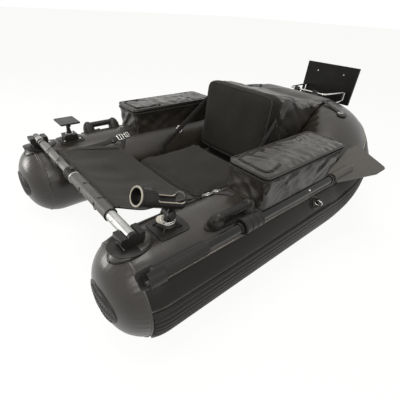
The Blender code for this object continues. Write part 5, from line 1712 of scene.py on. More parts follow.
@dataclass(frozen=True)
class Bags:
    """The zipped storage bags on the side tubes: body, lid, pocket and zip."""

    top: float = 0.4355
    low: Point = (0.3435, -0.3622)
    high: Point = (0.5335, 0.1788)
    base: float = 0.3115
    corner: float = 0.024
    cell: float = 0.009
    walls: Filling = Filling(2.0, 0.035, 0.006, 0.05)
    cover: Filling = Filling(1.5, 0.03, 0.005, 0.08)
    lid_gap: float = 0.0006
    lid_rise: float = 0.011
    crown: float = 0.005
    pocket: tuple[Point, ...] = (
        (-0.070, 0.170), (-0.072, 0.045), (-0.052, 0.026), (0.052, 0.026), (0.072, 0.045),
        (0.060, 0.110),
    )
    pocket_height: float = 0.03

    @property
    def middle(self) -> Vector:
        """The middle of the right bag in plan."""
        return Vector(((self.low[0] + self.high[0]) / 2, (self.low[1] + self.high[1]) / 2, 0))

    @property
    def half(self) -> Vector:
        """Half its width and half its length."""
        return Vector(((self.high[0] - self.low[0]) / 2, (self.high[1] - self.low[1]) / 2, 1))

    @staticmethod
    def tube_top(x: float, y: float) -> float:
        """Return the height of the hull's skin under a bag.

        Args:
            x: the place's X.
            y: its station.

        Returns:
            The height.
        """
        way = y - FORM.root_y
        centre, radius = FORM.centre(way), FORM.radius(way)
        away = min(radius, abs(x - FORM.plan(way)[0]))
        return centre.z + math.sqrt(radius**2 - away**2)

    def gridded(self, bottom: float, top: float) -> Shape:
        """Return a closed block with rounded corners and small square faces.

        Args:
            bottom: height of its underside.
            top: height of its top.

        Returns:
            The mesh.
        """
        shape = bmesh.new()
        bmesh.ops.create_cube(shape, size=1.0)
        spans = (self.high[0] - self.low[0], self.high[1] - self.low[1], top - bottom)
        for axis, span in enumerate(spans):
            along = [
                edge for edge in shape.edges
                if abs(edge.verts[0].co[axis] - edge.verts[1].co[axis]) > 0.5
            ]
            cuts = max(1, round(span / self.cell) - 1)
            bmesh.ops.subdivide_edges(shape, edges=along, cuts=cuts, use_grid_fill=True)
        for vertex in shape.verts:
            x = (vertex.co.x + 0.5) * spans[0]
            y = (vertex.co.y + 0.5) * spans[1]
            core_x = min(spans[0] - self.corner, max(self.corner, x))
            core_y = min(spans[1] - self.corner, max(self.corner, y))
            off = Vector((x - core_x, y - core_y))
            if off.length > 1e-9:
                off *= max(abs(off.x), abs(off.y)) / off.length
            z = bottom + (vertex.co.z + 0.5) * spans[2]
            vertex.co = Vector((self.low[0] + core_x + off.x, self.low[1] + core_y + off.y, z))
        return shape

    def build(self) -> None:
        """Make both bags."""
        self.body()
        self.lid()
        self.zip_band()

    def body(self) -> None:
        """The open bag: crumpled nylon walls on the tube."""
        shape = self.gridded(self.base, self.top - 0.001)
        lids = [face for face in shape.faces if face.normal.z > 0.9]
        bmesh.ops.delete(shape, geom=lids, context="FACES")
        middle = self.middle
        for vertex in shape.verts:
            x, y, z = vertex.co
            z = max(z, self.tube_top(x, y) + 0.0018)
            low = max(self.base, self.tube_top(x, y))
            share = min(1.0, max(0.0, (z - low) / (self.top - low)))
            out = Vector((x - middle.x, (y - middle.y) * 0.35, 0)).normalized()
            vertex.co = Vector((x, y, z)) + out * self.crease(x + y, z, share)
        filled(
            shape, self.walls,
            lambda p: p.z > self.top - 0.006 or p.z < self.tube_top(p.x, p.y) + 0.012,
        )
        body = finished("bag_right_shell", shape, BAG_NYLON, refine=1, thick=0.0016)
        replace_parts(body, "bag_right_body")
        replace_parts(mirrored(body, "bag_left_shell"), "bag_left_body")

    @staticmethod
    def crease(along: float, height: float, share: float) -> float:
        """Return how far a wall stands out in its creases.

        Args:
            along: place along the wall.
            height: height of the place.
            share: how far up the wall it is, from 0 to 1.

        Returns:
            The distance outwards, negative inwards.
        """
        fold = 0.20 - abs(noise.noise(Vector((along * 15 + height * 13, height * 4, 6.5))))
        cross = 0.20 - abs(noise.noise(Vector((along * 12 - height * 17, height * 5, 2.5))))
        loose = math.sin(math.pi * share) ** 0.7
        return (0.022 * (fold - 0.1) + 0.016 * (cross - 0.06)) * loose

    def lid(self) -> None:
        """The crumpled lid, hinged along the bag's inner edge, with piping and a pocket."""
        under = self.top + self.lid_gap
        shape = self.gridded(under, under + self.lid_rise)
        middle, half = self.middle, self.half
        for vertex in shape.verts:
            u = (vertex.co.x - middle.x) / half.x
            v = (vertex.co.y - middle.y) / half.y
            if vertex.co.z > self.top + 0.006:
                vertex.co.z += self.crown * (1 - u**4) * (1 - v**6)
                x, y, _ = vertex.co
                bend = 2.6 * noise.noise(Vector((x * 7, y * 7, 1.3)))
                fold = 0.22 - abs(noise.noise(Vector((x * 20 + y * 12 + bend, y * 9 - x * 6, 4.2))))
                cross = 0.22 - abs(noise.noise(Vector((x * 11 - y * 15 - bend, y * 12, 9.1))))
                vertex.co.z += (0.012 * fold + 0.006 * cross) * (1 - u**6) * (1 - v**8)
        filled(
            shape, self.cover,
            lambda p: p.z < self.top + 0.004
            or max(abs(p.x - middle.x) / half.x, abs(p.y - middle.y) / half.y) > 0.985,
        )
        edge = self.rim(-0.0015, self.top + 0.013)
        self.on_lid("piping", sweep(edge, circle(0.0028, 8), closed=True), BAG_PIPING)
        guide = [
            Vector((middle.x + x, self.low[1] + y, self.top + self.pocket_height))
            for x, y in self.pocket
        ]
        line, normals = hugged(smooth_path(guide, 9), shape, 0.0004)
        self.on_lid("pocket_tape", sweep(line, ribbon(0.012, 0.0012), normals), WEBBING, 70.0)
        raised = [point + up * 0.0016 for point, up in zip(line, normals)]
        self.on_lid("pocket_zip", sweep(raised, circle(0.0018, 6), normals), BLACK_PLASTIC)
        lid = finished("bag_right_cover", shape, BAG_NYLON, "lid_right", refine=1)
        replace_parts(lid, "bag_right_lid")
        other = mirrored(lid, "bag_left_cover", "lid_left")
        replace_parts(other, "bag_left_lid")

    def rim(self, out: float, height: float) -> list[Vector]:
        """Return the line round the bag's edge.

        Args:
            out: its distance outside the edge, negative inside.
            height: its height.

        Returns:
            The points of the closed line.
        """
        loop = rounded_loop(self.half.x + out, self.low[1] - out, self.high[1] + out, self.corner)
        return [Vector((x + self.middle.x, y, height)) for x, y in loop]

    @staticmethod
    def on_lid(word: str, shape: Shape, finish: Finish, sharp: float = 40.0) -> None:
        """Add a trim to both lids.

        Args:
            word: the end of its name.
            shape: the right lid's trim.
            finish: its finish.
            sharp: edges above this angle stay hard.
        """
        trim = finished("bag_right_" + word, shape, finish, "lid_right", sharp=sharp)
        mirrored(trim, "bag_left_" + word, "lid_left")

    def zip_band(self) -> None:
        """The zip round the bag's edge, and its puller."""
        path = self.rim(0.0004, self.top - 0.0055)
        middle = self.middle
        outward = [Vector((p.x - middle.x, (p.y - middle.y) * 0.3, 0)).normalized() for p in path]
        shape = sweep(path, ribbon(0.009, 0.0014), outward, closed=True)
        mirrored(finished("bag_right_zip_tape", shape, WEBBING, sharp=70), "bag_left_zip_tape")
        spot = middle_of("bag_right_puller")
        head_at = Matrix.Translation(spot + Vector((0, 0.006, 0.0)))
        tab_at = Matrix.Translation(spot - Vector((0, 0.005, 0.001)))
        head = cuboid((0.0034, 0.010, 0.006), head_at, 0.0008)
        tab = cuboid((0.0024, 0.020, 0.0040), tab_at, 0.0008)
        puller = finished("bag_right_pull", joined(head, tab), BLACK_PLASTIC, "puller_right")
        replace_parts(puller, "bag_right_puller")
        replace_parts(mirrored(puller, "bag_left_pull", "puller_left"), "bag_left_puller")


def patch_lip(y: float, angle: float, half_wide: float, half_long: float,
              wire: float, squareness: float = 1.0) -> Shape:
    """Return a bead round an oval or squarish patch on the right tube.

    Args:
        y: station of the patch's middle.
        angle: its angle on the tube.
        half_wide: half its width round the tube.
        half_long: half its length along the tube.
        wire: radius of the bead.
        squareness: 1 for an ellipse, less for a rounder rectangle.

    Returns:
        The bead.
    """
    points, normals = [], []
    for step in range(60):
        turn = 2 * math.pi * step / 60
        c, s = math.cos(turn), math.sin(turn)
        across = half_wide * math.copysign(abs(c) ** squareness, c)
        along = half_long * math.copysign(abs(s) ** squareness, s)
        at = angle - math.degrees(across / FORM.tube_radius)
        points.append(tube_point(y + along, at, 0.0030))
        normals.append(tube_normal(y + along, at))
    return sweep(points, circle(wire, 8), normals, closed=True)


def bolt(place: Matrix, radius: float = 0.005) -> Shape:
    """Return a domed bolt head on a washer.

    Args:
        place: the middle of the washer's underside.
        radius: the head's radius.

    Returns:
        The mesh.
    """
    dome = [
        (radius * math.cos(math.radians(a)), radius * 0.6 * math.sin(math.radians(a)) + 0.0012)
        for a in range(0, 91, 18)
    ]
    washer = [(0.0, 0.0), (radius * 1.4, 0.0), (radius * 1.4, 0.0010)]
    return lathe([*washer, *dome], place, 18)


@dataclass(frozen=True)
class SpreaderBar:
    """Rings, collar ribs, button and caps of the bar, and the skins over its brackets."""

    y: float = -0.82518
    z: float = 0.3715
    thin: float = 0.0158
    thick: float = 0.0182
    collar_ribs: int = 5
    collar_pitch: float = 0.008
    button_x: float = 0.352
    pad_half: Point = (0.0535, 0.0685)
    pad_lift: float = 0.0046
    lip_half: Point = (0.0545, 0.0695)
    bolt_offset: float = 0.046

    def build(self) -> None:
        """Make every small piece of the bar."""
        self.rings()
        self.ends()
        self.brackets()

    def ring(self, at: float, bore: float, outer: float, half: float) -> Shape:
        """Return a ring round the bar.

        Args:
            at: its place along the bar.
            bore: its inner radius.
            outer: its outer radius.
            half: half its length.

        Returns:
            The ring.
        """
        edge = 0.0008
        profile = [
            (bore, -half), (outer - edge, -half), (outer, -half + edge), (outer, half - edge),
            (outer - edge, half), (bore, half), (bore, -half),
        ]
        return lathe(profile, frame_at((at, self.y, self.z), (1, 0, 0), (0, 0, 1)), 36)

    def rings(self) -> None:
        """The steel rings and ribs of the lock collar."""
        collar = [
            self.ring(-0.0275, 0.0162, 0.0215, 0.0022), self.ring(0.0285, self.thick, 0.0236, 0.0022)
        ]
        finished("bar_collar_rings", joined(*collar), STAINLESS, "clamp")
        first = -self.collar_pitch * (self.collar_ribs - 1) / 2
        ribs = [
            self.ring(first + self.collar_pitch * step, 0.0248, 0.0262, 0.0018)
            for step in range(self.collar_ribs)
        ]
        finished("bar_collar_ribs", joined(*ribs), BLACK_PLASTIC, "clamp")

    def ends(self) -> None:
        """The bare far end, its dark rings, the sleeve's end, the button and the cap."""
        finished("bar_far_end", self.ring(-0.3915, self.thin, 0.0176, 0.0165), BAR_METAL, "bar_slider")
        dark = [
            self.ring(-0.3725, self.thin, 0.0186, 0.0022), self.ring(-0.345, self.thin, 0.0182, 0.0012)
        ]
        finished("bar_far_rings", joined(*dark), BLACK_PLASTIC, "bar_slider")
        finished("bar_sleeve_end", self.ring(0.3125, self.thick, 0.0226, 0.0016), BLACK_PLASTIC)
        spot = Vector((self.button_x, self.y - 0.0150, self.z + 0.0100))
        profile = [(0.0, 0.0034), (0.0026, 0.0028), (0.0036, 0.0), (0.0, 0.0)]
        button = lathe(profile, frame_at(spot, (0, -0.83, 0.55), (1, 0, 0)), 18)
        finished("bar_button", button, STAINLESS)
        finished("bar_end_cap", self.ring(0.4500, 0.0120, 0.0192, 0.0030), BLACK_PLASTIC)

    def brackets(self) -> None:
        """The bolts, the skin and the bead on each bracket's plate."""
        bolts = [
            bolt(tube_frame(self.y + offset, 90.0, 0.0044), 0.0042)
            for offset in (-self.bolt_offset, self.bolt_offset)
        ]
        paired("bracket_bolts", joined(*bolts), STAINLESS)
        cover = loft(60, 16, self.pad_point, (0.4, 0.1), True)
        paired("bracket_pad", cover, HULL_TAPE)
        lip = patch_lip(self.y, 90.0, *self.lip_half, 0.0014)
        paired("bracket_lip", lip, PATCH)

    def pad_point(self, u: float, v: float) -> Vector:
        """Return a point of the bracket's skin, from its middle out and back underneath.

        Args:
            u: share of the way round it.
            v: share of the way out and back.

        Returns:
            The point.
        """
        turn = 2 * math.pi * u
        share = there_and_back(v)
        half_wide, half_long = self.pad_half
        across = math.degrees(half_wide * share * math.cos(turn) / FORM.tube_radius)
        rise = self.pad_lift if v < 0.5 and share < 1 else 0.0
        return tube_point(self.y + half_long * share * math.sin(turn), 90.0 - across, rise)


@dataclass(frozen=True)
class Handles:
    """Beads round the handle pads, and ribs on the grips."""

    y: float = -0.48518
    angle: float = 66.27
    half_wide: float = 0.0270
    half_long: float = 0.1165
    rib_radius: float = 0.0140
    ribs: int = 9
    rib_start: float = 0.018
    rib_pitch: float = 0.0122

    def build(self) -> None:
        """Make the beads and the ribs."""
        beads = [
            patch_lip(self.y, self.angle, self.half_wide * share, self.half_long * share**0.5, 0.0011)
            for share in (1.0, 0.88)
        ]
        paired("handle_beads", joined(*beads), PATCH)
        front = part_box("handle_right_grip")[0][1]
        middle = middle_of("handle_right_grip")
        rings = []
        for step in range(self.ribs):
            at = Vector((middle.x, front + self.rib_start + self.rib_pitch * step, middle.z))
            rings.append(hoop(self.rib_radius, 0.0011, frame_at(at, (0, 1, 0), (0, 0, 1))))
        paired("handle_ribs", joined(*rings), BLACK_PLASTIC)


@dataclass(frozen=True)
class RodHolder:
    """Chrome and cream rings, ribs of the base, and the barrel's lips, slots and loop."""

    spot: Triple = (0.4275, -0.69518, 0.3655)
    pivot_z: float = 0.3932
    lean: float = 25.0
    barrel_rise: float = 0.043
    barrel_front: float = 0.130
    outer: float = 0.0293
    rim: float = 0.0262

    @property
    def axis(self) -> Vector:
        """The barrel's direction, towards its mouth."""
        lean = math.radians(self.lean)
        return Vector((0, -math.cos(lean), math.sin(lean)))

    @property
    def upward(self) -> Vector:
        """The direction square to the barrel, away from its base."""
        lean = math.radians(self.lean)
        return Vector((0, math.sin(lean), math.cos(lean)))

    @property
    def pivot(self) -> Vector:
        """The point of the barrel's axis above its pivot."""
        x, y, _ = self.spot
        return Vector((x, y, self.pivot_z)) + self.upward * self.barrel_rise

    def build(self) -> None:
        """Make every small piece of the rod holder."""
        self.base()
        self.lips()
        self.grooves()
        self.loop()

    def base(self) -> None:
        """The beads, rings and ribs of the base."""
        middle = Vector(self.spot)
        y = middle.y
        up, ahead = (0, 0, 1), (0, 1, 0)
        lip = patch_lip(y, 90.0, 0.0480, 0.0550, 0.0016, 0.35)
        inner = patch_lip(y, 90.0, 0.0400, 0.0470, 0.0010, 0.35)
        finished("rod_patch_lip", joined(lip, inner), PATCH)
        ring = hoop(0.0235, 0.0020, frame_at(middle - Vector((0, 0, 0.003)), up, ahead))
        finished("rod_chrome_ring", ring, STAINLESS)
        cream_at = frame_at(middle + Vector((-0.012, -0.010, -0.004)), up, ahead)
        finished("rod_cream_disc", disc(0.0205, 0.0045, cream_at, 0.0015), CREAM)
        legs = []
        for side, end in ((-1, -1), (1, -1), (-1, 1), (1, 1)):
            foot = tube_point(y + end * 0.036, 90 + side * 9.5, 0.0035)
            top = middle + Vector((-side * 0.012, end * 0.013, -0.005))
            knee = foot.lerp(top, 0.5) + Vector((0, 0, 0.001))
            legs.append(sweep([foot, knee, top], circle(0.0036, 8)))
        finished("rod_base_ribs", joined(*legs), PATCH)

    def at(self, along: float) -> Matrix:
        """Return a frame on the barrel's axis, its local Z towards the mouth."""
        return frame_at(self.pivot + self.axis * along, self.axis, self.upward)

    def lips(self) -> None:
        """The cream lip of the mouth and the barrel's ribs."""
        edge = hoop(0.0268, 0.0024, self.at(self.barrel_front - 0.001))
        finished("rod_mouth_lip", edge, MOUTH_EDGE, "rod_holder")
        ribs = [hoop(0.0292, 0.0013, self.at(along)) for along in (0.119, 0.086, 0.079)]
        finished("rod_barrel_ribs", joined(*ribs), BLACK_PLASTIC, "rod_holder")

    def grooves(self) -> None:
        """The fine ridges between the ribs."""
        side = self.axis.cross(self.upward).normalized()
        grooves = []
        for sign in (-1, 1):
            for turn in (50, 62):
                x, z, _ = polar(self.outer, turn)
                line = [
                    self.pivot + self.axis * along + side * (sign * x) + self.upward * z
                    for along in (0.088, 0.10, 0.115)
                ]
                grooves.append(sweep(line, circle(0.0012, 6)))
        finished("rod_barrel_grooves", joined(*grooves), BLACK_PLASTIC, "rod_holder")

    def loop(self) -> None:
        """The cream-edged rim of the open trough behind the barrel."""
        side = self.axis.cross(self.upward).normalized()
        runs = (0.066, 0.035, 0.005, -0.018)

        def arch(along: float, turn: float) -> Vector:
            """Return a point of the arch at one end of the rim."""
            x, z, _ = polar(self.rim, turn)
            return self.pivot + self.axis * along + side * x + self.upward * z

        line = [self.pivot + side * self.rim + self.axis * along for along in runs]
        line += [arch(-0.032, turn) for turn in range(15, 166, 15)]
        line += [self.pivot - side * self.rim + self.axis * along for along in reversed(runs)]
        line += [arch(0.077, turn) for turn in range(165, 14, -15)]
        loop = sweep(line, circle(0.0021, 8), closed=True)
        finished("rod_rear_loop", loop, MOUTH_EDGE, "rod_holder")


@dataclass(frozen=True)
class Finder:
    """Beads, bolts and ring of the sonar mount on the left tube."""

    y: float = -0.68218
    patch_half: Point = (0.0475, 0.0545)
    bolt_half: Point = (0.033, 0.036)
    bolt_z: float = 0.3452
    ring_z: float = 0.3690

    def build(self) -> None:
        """Make every small piece of the mount."""
        x = -FORM.side_x
        up, ahead = (0, 0, 1), (0, 1, 0)
        lip = flipped(patch_lip(self.y, 90.0, *self.patch_half, 0.0016, 0.35))
        finished("finder_patch_lip", lip, PATCH)
        wide, long = self.bolt_half
        bolts = [
            bolt(frame_at((x + dx, self.y + dy, self.bolt_z), up, ahead), 0.0040)
            for dx in (-wide, wide) for dy in (-long, long)
        ]
        finished("finder_bolts", joined(*bolts), STAINLESS)
        ring = hoop(0.0165, 0.0018, frame_at((x, self.y, self.ring_z), up, ahead))
        finished("finder_ring", ring, STAINLESS)
        low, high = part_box("finder_plate")
        inset = 0.003
        middle_x, half = (low[0] + high[0]) / 2, (high[0] - low[0]) / 2
        outline = rounded_loop(half - inset, low[1] + inset, high[1] - inset, 0.006)
        rim = [Vector((across + middle_x, y, high[2] - 0.0005)) for across, y in outline]
        bead = sweep(rim, circle(0.0014, 8), closed=True)
        finished("finder_plate_bead", bead, BLACK_PLASTIC, "finder_head")


@dataclass(frozen=True)
class Oar:
    """Wing nut, collars, button and grip ridges of one oar."""

    word: str
    side: int
    angle: float
    distance: float
    lean: float = 3.0
    lock_y: float = -0.48218
    collars: tuple[float, ...] = (-0.047, 0.047, 0.452)
    button: float = 0.30
    grip: tuple[float, ...] = (-0.350, -0.270, -0.190)
    ridges: int = 12
    grip_radius: float = 0.0219
    lock_ribs: tuple[float, ...] = (-0.036, -0.012, 0.012, 0.036)

    @property
    def radial(self) -> Vector:
        """The direction from the tube's axis to the oar."""
        turn = math.radians(self.angle)
        return Vector((self.side * math.cos(turn), 0, math.sin(turn)))

    @property
    def axis(self) -> Vector:
        """The oar's direction, astern."""
        lean = math.radians(self.lean)
        x, _, z = self.radial
        return Vector((x * math.sin(lean), math.cos(lean), z * math.sin(lean)))

    @property
    def lock(self) -> Vector:
        """The oarlock's middle."""
        centre = Vector((self.side * FORM.side_x, self.lock_y, FORM.tube_radius - FORM.floor_flat))
        return centre + self.radial * self.distance

    def at(self, along: float) -> Matrix:
        """Return a frame on the oar's line, its local Z astern."""
        return frame_at(self.lock + self.axis * along, self.axis, self.radial)

    def build(self) -> None:
        """Make the oar's small pieces."""
        self.shaft_trims()
        self.grip_ridges()
        self.lock_trims()

    def shaft_trims(self) -> None:
        """The collars and the button on the shaft."""
        profile = [
            (0.0142, -0.004), (0.0168, -0.004), (0.0172, 0.0), (0.0168, 0.004), (0.0142, 0.004),
            (0.0142, -0.004),
        ]
        collars = [lathe(profile, self.at(along), 28) for along in self.collars]
        finished("oar_collars_" + self.word, joined(*collars), BLACK_PLASTIC, "oar_" + self.word)
        spot = self.lock + self.axis * self.button + self.radial * 0.0138
        profile = [(0.0, 0.0030), (0.0030, 0.0022), (0.0040, 0.0), (0.0, 0.0)]
        button = lathe(profile, frame_at(spot, self.radial, self.axis), 16)
        finished("oar_button_" + self.word, button, STAINLESS, "oar_" + self.word)

    def grip_ridges(self) -> None:
        """The ridges along the grip."""
        ridges = []
        for step in range(self.ridges):
            turn = Matrix.Rotation(2 * math.pi * step / self.ridges, 4, "Z")
            off = turn @ Vector((self.grip_radius, 0, 0))
            ridges.append(sweep([self.at(along) @ off for along in self.grip], circle(0.0012, 6)))
        finished("grip_ridges_" + self.word, joined(*ridges), OAR_GRIP, "oar_" + self.word)

    def lock_trims(self) -> None:
        """The ribs of the oarlock and the wing nut under it."""
        body = "lock_" + self.word
        ribs = [hoop(0.0262, 0.0012, self.at(along)) for along in self.lock_ribs]
        finished("oarlock_ribs_" + self.word, joined(*ribs), BLACK_PLASTIC, body)
        down = self.radial.cross(self.axis).normalized()
        if down.z > 0:
            down = -down
        place = frame_at(self.lock - self.radial * 0.0335 + down * 0.012, down, self.axis)
        profile = [
            (0.0, -0.006), (0.0052, -0.006), (0.0060, 0.006), (0.0042, 0.0075), (0.0, 0.0075)
        ]
        hub = lathe(profile, place, 20)
        wings = []
        for sign in (-1, 1):
            spread = Matrix.Translation((0.0, sign * 0.0095, 0.004))
            tilt = Matrix.Rotation(sign * -0.35, 4, "X")
            wings.append(cuboid((0.0030, 0.0130, 0.0095), place @ spread @ tilt, 0.0012))
        stem = lathe([(0.0, -0.013), (0.0030, -0.013), (0.0030, 0.0), (0.0, 0.0)], place, 16)
        finished("wing_nut_" + self.word, joined(hub, *wings, stem), STAINLESS, body)


@dataclass(frozen=True)
class MotorMount:
    """Bolts and edge of the motor board."""

    origin: Triple = (0.0, 0.90482, 0.425)
    up: Triple = (0.0, 0.0785, 0.9969)
    astern: Triple = (0.0, 0.9969, -0.0785)
    thickness: float = 0.0184
    through: Point = (0.092, 0.172)
    through_radius: float = 0.0030
    back_x: float = 0.142
    back_heights: Point = (0.077, 0.026)
    back_radii: Point = (0.0062, 0.0050)
    edge_half: float = 0.1772
    edge_ends: Point = (0.0008, 0.2212)

    def build(self) -> None:
        """Make the bolts and the edge band."""
        up, astern, origin = Vector(self.up), Vector(self.astern), Vector(self.origin)
        rows = [(*self.through, self.through_radius)]
        rows += [(self.back_x, *row) for row in zip(self.back_heights, self.back_radii)]
        bolts = []
        for across, height, radius in rows:
            for x in (-across, across):
                spot = origin + Vector((x, 0, 0)) + up * height - astern * 0.0002
                if radius == self.through_radius:
                    bolts.append(bolt(frame_at(spot, -astern, up), radius))
                bolts.append(bolt(frame_at(spot + astern * self.thickness, astern, up), radius))
        finished("board_bolts", joined(*bolts), STAINLESS)
        edge = [
            origin + Vector((x, 0, 0)) + up * height + astern * 0.009
            for x, height in rounded_loop(self.edge_half, *self.edge_ends, 0.004)
        ]
        band = sweep(edge, ribbon(self.thickness, 0.0010), None, closed=True)
        finished("board_edge", band, BOARD)


@dataclass(frozen=True)
class HullRings:
    """The towing rings on the outer sides and the lips of the valves."""

    ring_radius: float = 0.0150
    ring_wire: float = 0.0022
    lean: float = 25.0
    patch_half: Point = (0.021, 0.027)
    valve_radius: float = 0.0215

    def build(self) -> None:
        """Make the rings and the lips."""
        self.towing_rings()
        self.valve_lips()

    def towing_rings(self) -> None:
        """The towing ring and its patch's bead on each outer side."""
        spot = middle_of("tie_ring_right")
        height = spot.z - FORM.tube_radius + FORM.floor_flat
        angle = math.degrees(math.atan2(height, spot.x - FORM.side_x))
        upright = Matrix.Rotation(math.radians(90), 4, "X")
        leaning = Matrix.Rotation(math.radians(self.lean), 4, "Y")
        stand = tube_frame(spot.y, angle, 0.0120) @ upright @ leaning
        ring = hoop(self.ring_radius, self.ring_wire, stand @ Matrix.Translation((0, 0.006, 0)))
        paired("towing_ring", ring, STAINLESS)
        lip = patch_lip(spot.y, angle, *self.patch_half, 0.0013)
        paired("towing_lip", lip, PATCH)

    def valve_lips(self) -> None:
        """The flange lips of the inflation valves."""
        for node in ("valve_right", "valve_left"):
            middle = middle_of(node)
            centre = Vector((middle.x, FORM.stern_y, 0.3245))
            out = Vector((0, middle.y - centre.y, middle.z - centre.z)).normalized()
            spot = centre + out * (FORM.stern_radius + 0.0022)
            ring = hoop(self.valve_radius, 0.0016, frame_at(spot, out, (1, 0, 0)))
            finished(node + "_lip", ring, PATCH)


@dataclass(frozen=True)
class Lamp:
    """One soft square lamp.

    Attributes:
        name: its name.
        spot: where it hangs.
        size: length of its side.
        power: its power in watts.
    """

    name: str
    spot: Triple
    size: float
    power: float


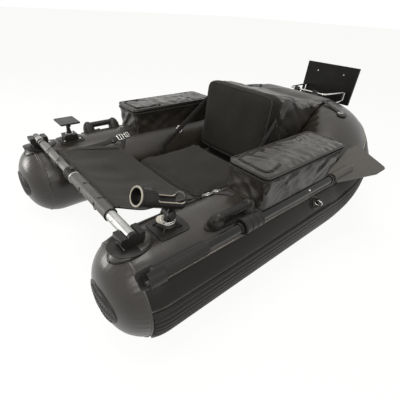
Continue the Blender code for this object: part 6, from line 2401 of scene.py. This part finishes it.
@dataclass(frozen=True)
class Studio:
    """Camera, lamps, floor and world."""

    lens: float = 26.37
    yaw: float = 47.91
    pitch: float = 33.25
    roll: float = 3.43
    eye: Triple = (1.024, -1.1042, 0.914)
    aim: Triple = (0.0, -0.1, 0.2)
    lamps: tuple[Lamp, ...] = (
        Lamp("key", (-0.1, -0.6, 3.2), 2.0, 54.0),
        Lamp("side", (3.2, -0.9, 1.7), 1.4, 17.0),
        Lamp("front", (-2.4, -3.0, 0.9), 1.2, 42.0),
        Lamp("fill", (1.7, -2.3, 1.8), 1.0, 14.0),
    )
    lamp_colour: Triple = (1.0, 0.975, 0.94)
    white: Colour = (1.0, 1.0, 0.985, 1.0)
    light_level: float = 0.20
    seen_level: float = 1.03
    floor_colour: Colour = (0.55, 0.55, 0.54, 1.0)
    floor_glow: float = 1.16
    glow_share: float = 0.80
    floor_size: float = 40.0
    floor_z: float = -0.0005

    def build(self) -> None:
        """Set the camera at the photograph's angle and light the boat softly."""
        self.camera()
        self.world()
        self.floor()
        for lamp in self.lamps:
            self.hang(lamp)

    def camera(self) -> None:
        """Make the camera."""
        yaw, pitch, roll = (math.radians(a) for a in (self.yaw, self.pitch, self.roll))
        ahead = Vector((
            -math.sin(yaw) * math.cos(pitch), math.cos(yaw) * math.cos(pitch), -math.sin(pitch)
        ))
        level = Vector((math.cos(yaw), math.sin(yaw), 0))
        above = level.cross(ahead)
        right = level * math.cos(roll) + above * math.sin(roll)
        up = above * math.cos(roll) - level * math.sin(roll)
        data = bpy.data.cameras.new("camera")
        data.sensor_width = 36.0
        data.lens = self.lens
        data.clip_start = 0.05
        data.clip_end = 60.0
        camera = bpy.data.objects.new("camera", data)
        turn = Matrix([[right[k], up[k], -ahead[k]] for k in range(3)]).to_4x4()
        turn.translation = Vector(self.eye)
        camera.matrix_world = turn
        bpy.context.scene.collection.objects.link(camera)
        bpy.context.scene.camera = camera
        bpy.context.scene.view_settings.view_transform = "Standard"

    def hang(self, lamp: Lamp) -> None:
        """Add a lamp that looks at the boat.

        Args:
            lamp: the lamp.
        """
        data = bpy.data.lights.new(lamp.name, "AREA")
        data.size = lamp.size
        data.energy = lamp.power
        data.color = self.lamp_colour
        light = bpy.data.objects.new(lamp.name, data)
        light.location = lamp.spot
        aim = Vector(self.aim) - Vector(lamp.spot)
        light.rotation_euler = aim.to_track_quat("-Z", "Y").to_euler()
        bpy.context.scene.collection.objects.link(light)

    @staticmethod
    def seen(tree: Tree) -> Socket:
        """Return 1 for camera, glossy and transmission rays, else 0.

        Args:
            tree: the node tree.

        Returns:
            The socket of the value.
        """
        path = tree.nodes.new("ShaderNodeLightPath")
        shown = path.outputs["Is Camera Ray"]
        shown = maths(tree, "MAXIMUM", shown, path.outputs["Is Glossy Ray"])
        return maths(tree, "MAXIMUM", shown, path.outputs["Is Transmission Ray"])

    def world(self) -> None:
        """A white surround that lights the boat much more weakly than it is seen."""
        world = bpy.data.worlds.new("studio")
        world.use_nodes = True
        tree = world.node_tree
        back = tree.nodes["Background"]
        back.inputs["Color"].default_value = self.white
        level = shader_node(tree, "ShaderNodeMapRange", {
            "To Min": self.light_level, "To Max": self.seen_level, "Value": self.seen(tree),
        })
        tree.links.new(level.outputs["Result"], back.inputs["Strength"])
        bpy.context.scene.world = world

    def floor(self) -> None:
        """A pale floor that keeps the boat's shadow."""
        shape = bmesh.new()
        bmesh.ops.create_grid(shape, x_segments=1, y_segments=1, size=self.floor_size)
        mesh = bpy.data.meshes.new("floor")
        shape.to_mesh(mesh)
        shape.free()
        made = bpy.data.materials.new("floor")
        made.use_nodes = True
        tree = made.node_tree
        tree.nodes.remove(tree.nodes["Principled BSDF"])
        matte = shader_node(tree, "ShaderNodeBsdfDiffuse", {"Color": self.floor_colour})
        light = {"Color": self.white, "Strength": self.floor_glow}
        glow = shader_node(tree, "ShaderNodeEmission", light)
        share = maths(tree, "MULTIPLY", self.seen(tree), self.glow_share)
        mix = shader_node(tree, "ShaderNodeMixShader", {
            "Fac": share, 1: matte.outputs[0], 2: glow.outputs[0],
        })
        tree.links.new(mix.outputs[0], tree.nodes["Material Output"].inputs["Surface"])
        mesh.materials.append(made)
        floor = bpy.data.objects.new("floor", mesh)
        bpy.context.scene.collection.objects.link(floor)
        floor.location.z = self.floor_z


NODE_FINISH = {
    "bar_bracket_right": BLACK_PLASTIC,
    "bar_bracket_left": BLACK_PLASTIC,
    "bar_outer_tube": BAR_METAL,
    "bar_inner_tube": BAR_SATIN,
    "bar_clamp": BLACK_PLASTIC,
    "bar_sleeve": BAR_GREY,
    "rod_base": PATCH,
    "finder_base": PATCH,
}


def dress_nodes() -> None:
    """Give every CAD node that stays in view its finish."""
    slots = {row["node"]: row["material_slot"] for row in frame["record"]["subparts"]}
    by_slot = {
        finish.slot: finish
        for finish in (
            HULL, STRAKE, PATCH, BAR_METAL, BAR_GREY, BLACK_PLASTIC, SEAT_CLOTH, BACK_CLOTH,
            APRON_CLOTH, BAG_NYLON, WEBBING, STAINLESS, OAR_SHAFT, OAR_GRIP, BLADE, CREAM, BOARD,
        )
    }
    for node, piece in frame["nodes"].items():
        finish = NODE_FINISH.get(node, by_slot[slots[node]])
        piece.data.materials.clear()
        piece.data.materials.append(PAINTER.material(finish))


def main() -> None:
    """Dress the nodes, build each sub-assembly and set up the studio."""
    logging.basicConfig(level=logging.INFO)
    dress_nodes()
    assemblies = (
        Hull(), Seat(), RearCover(), Apron(), Webbing(), Bags(), SpreaderBar(), Handles(),
        RodHolder(), Finder(), Oar("right", 1, 50.0, 0.2385), Oar("left", -1, 22.5, 0.2255),
        MotorMount(), HullRings(), Studio(),
    )
    for assembly in assemblies:
        assembly.build()
        LOG.info("%s built", type(assembly).__name__)


if __name__ == "__main__":
    main()
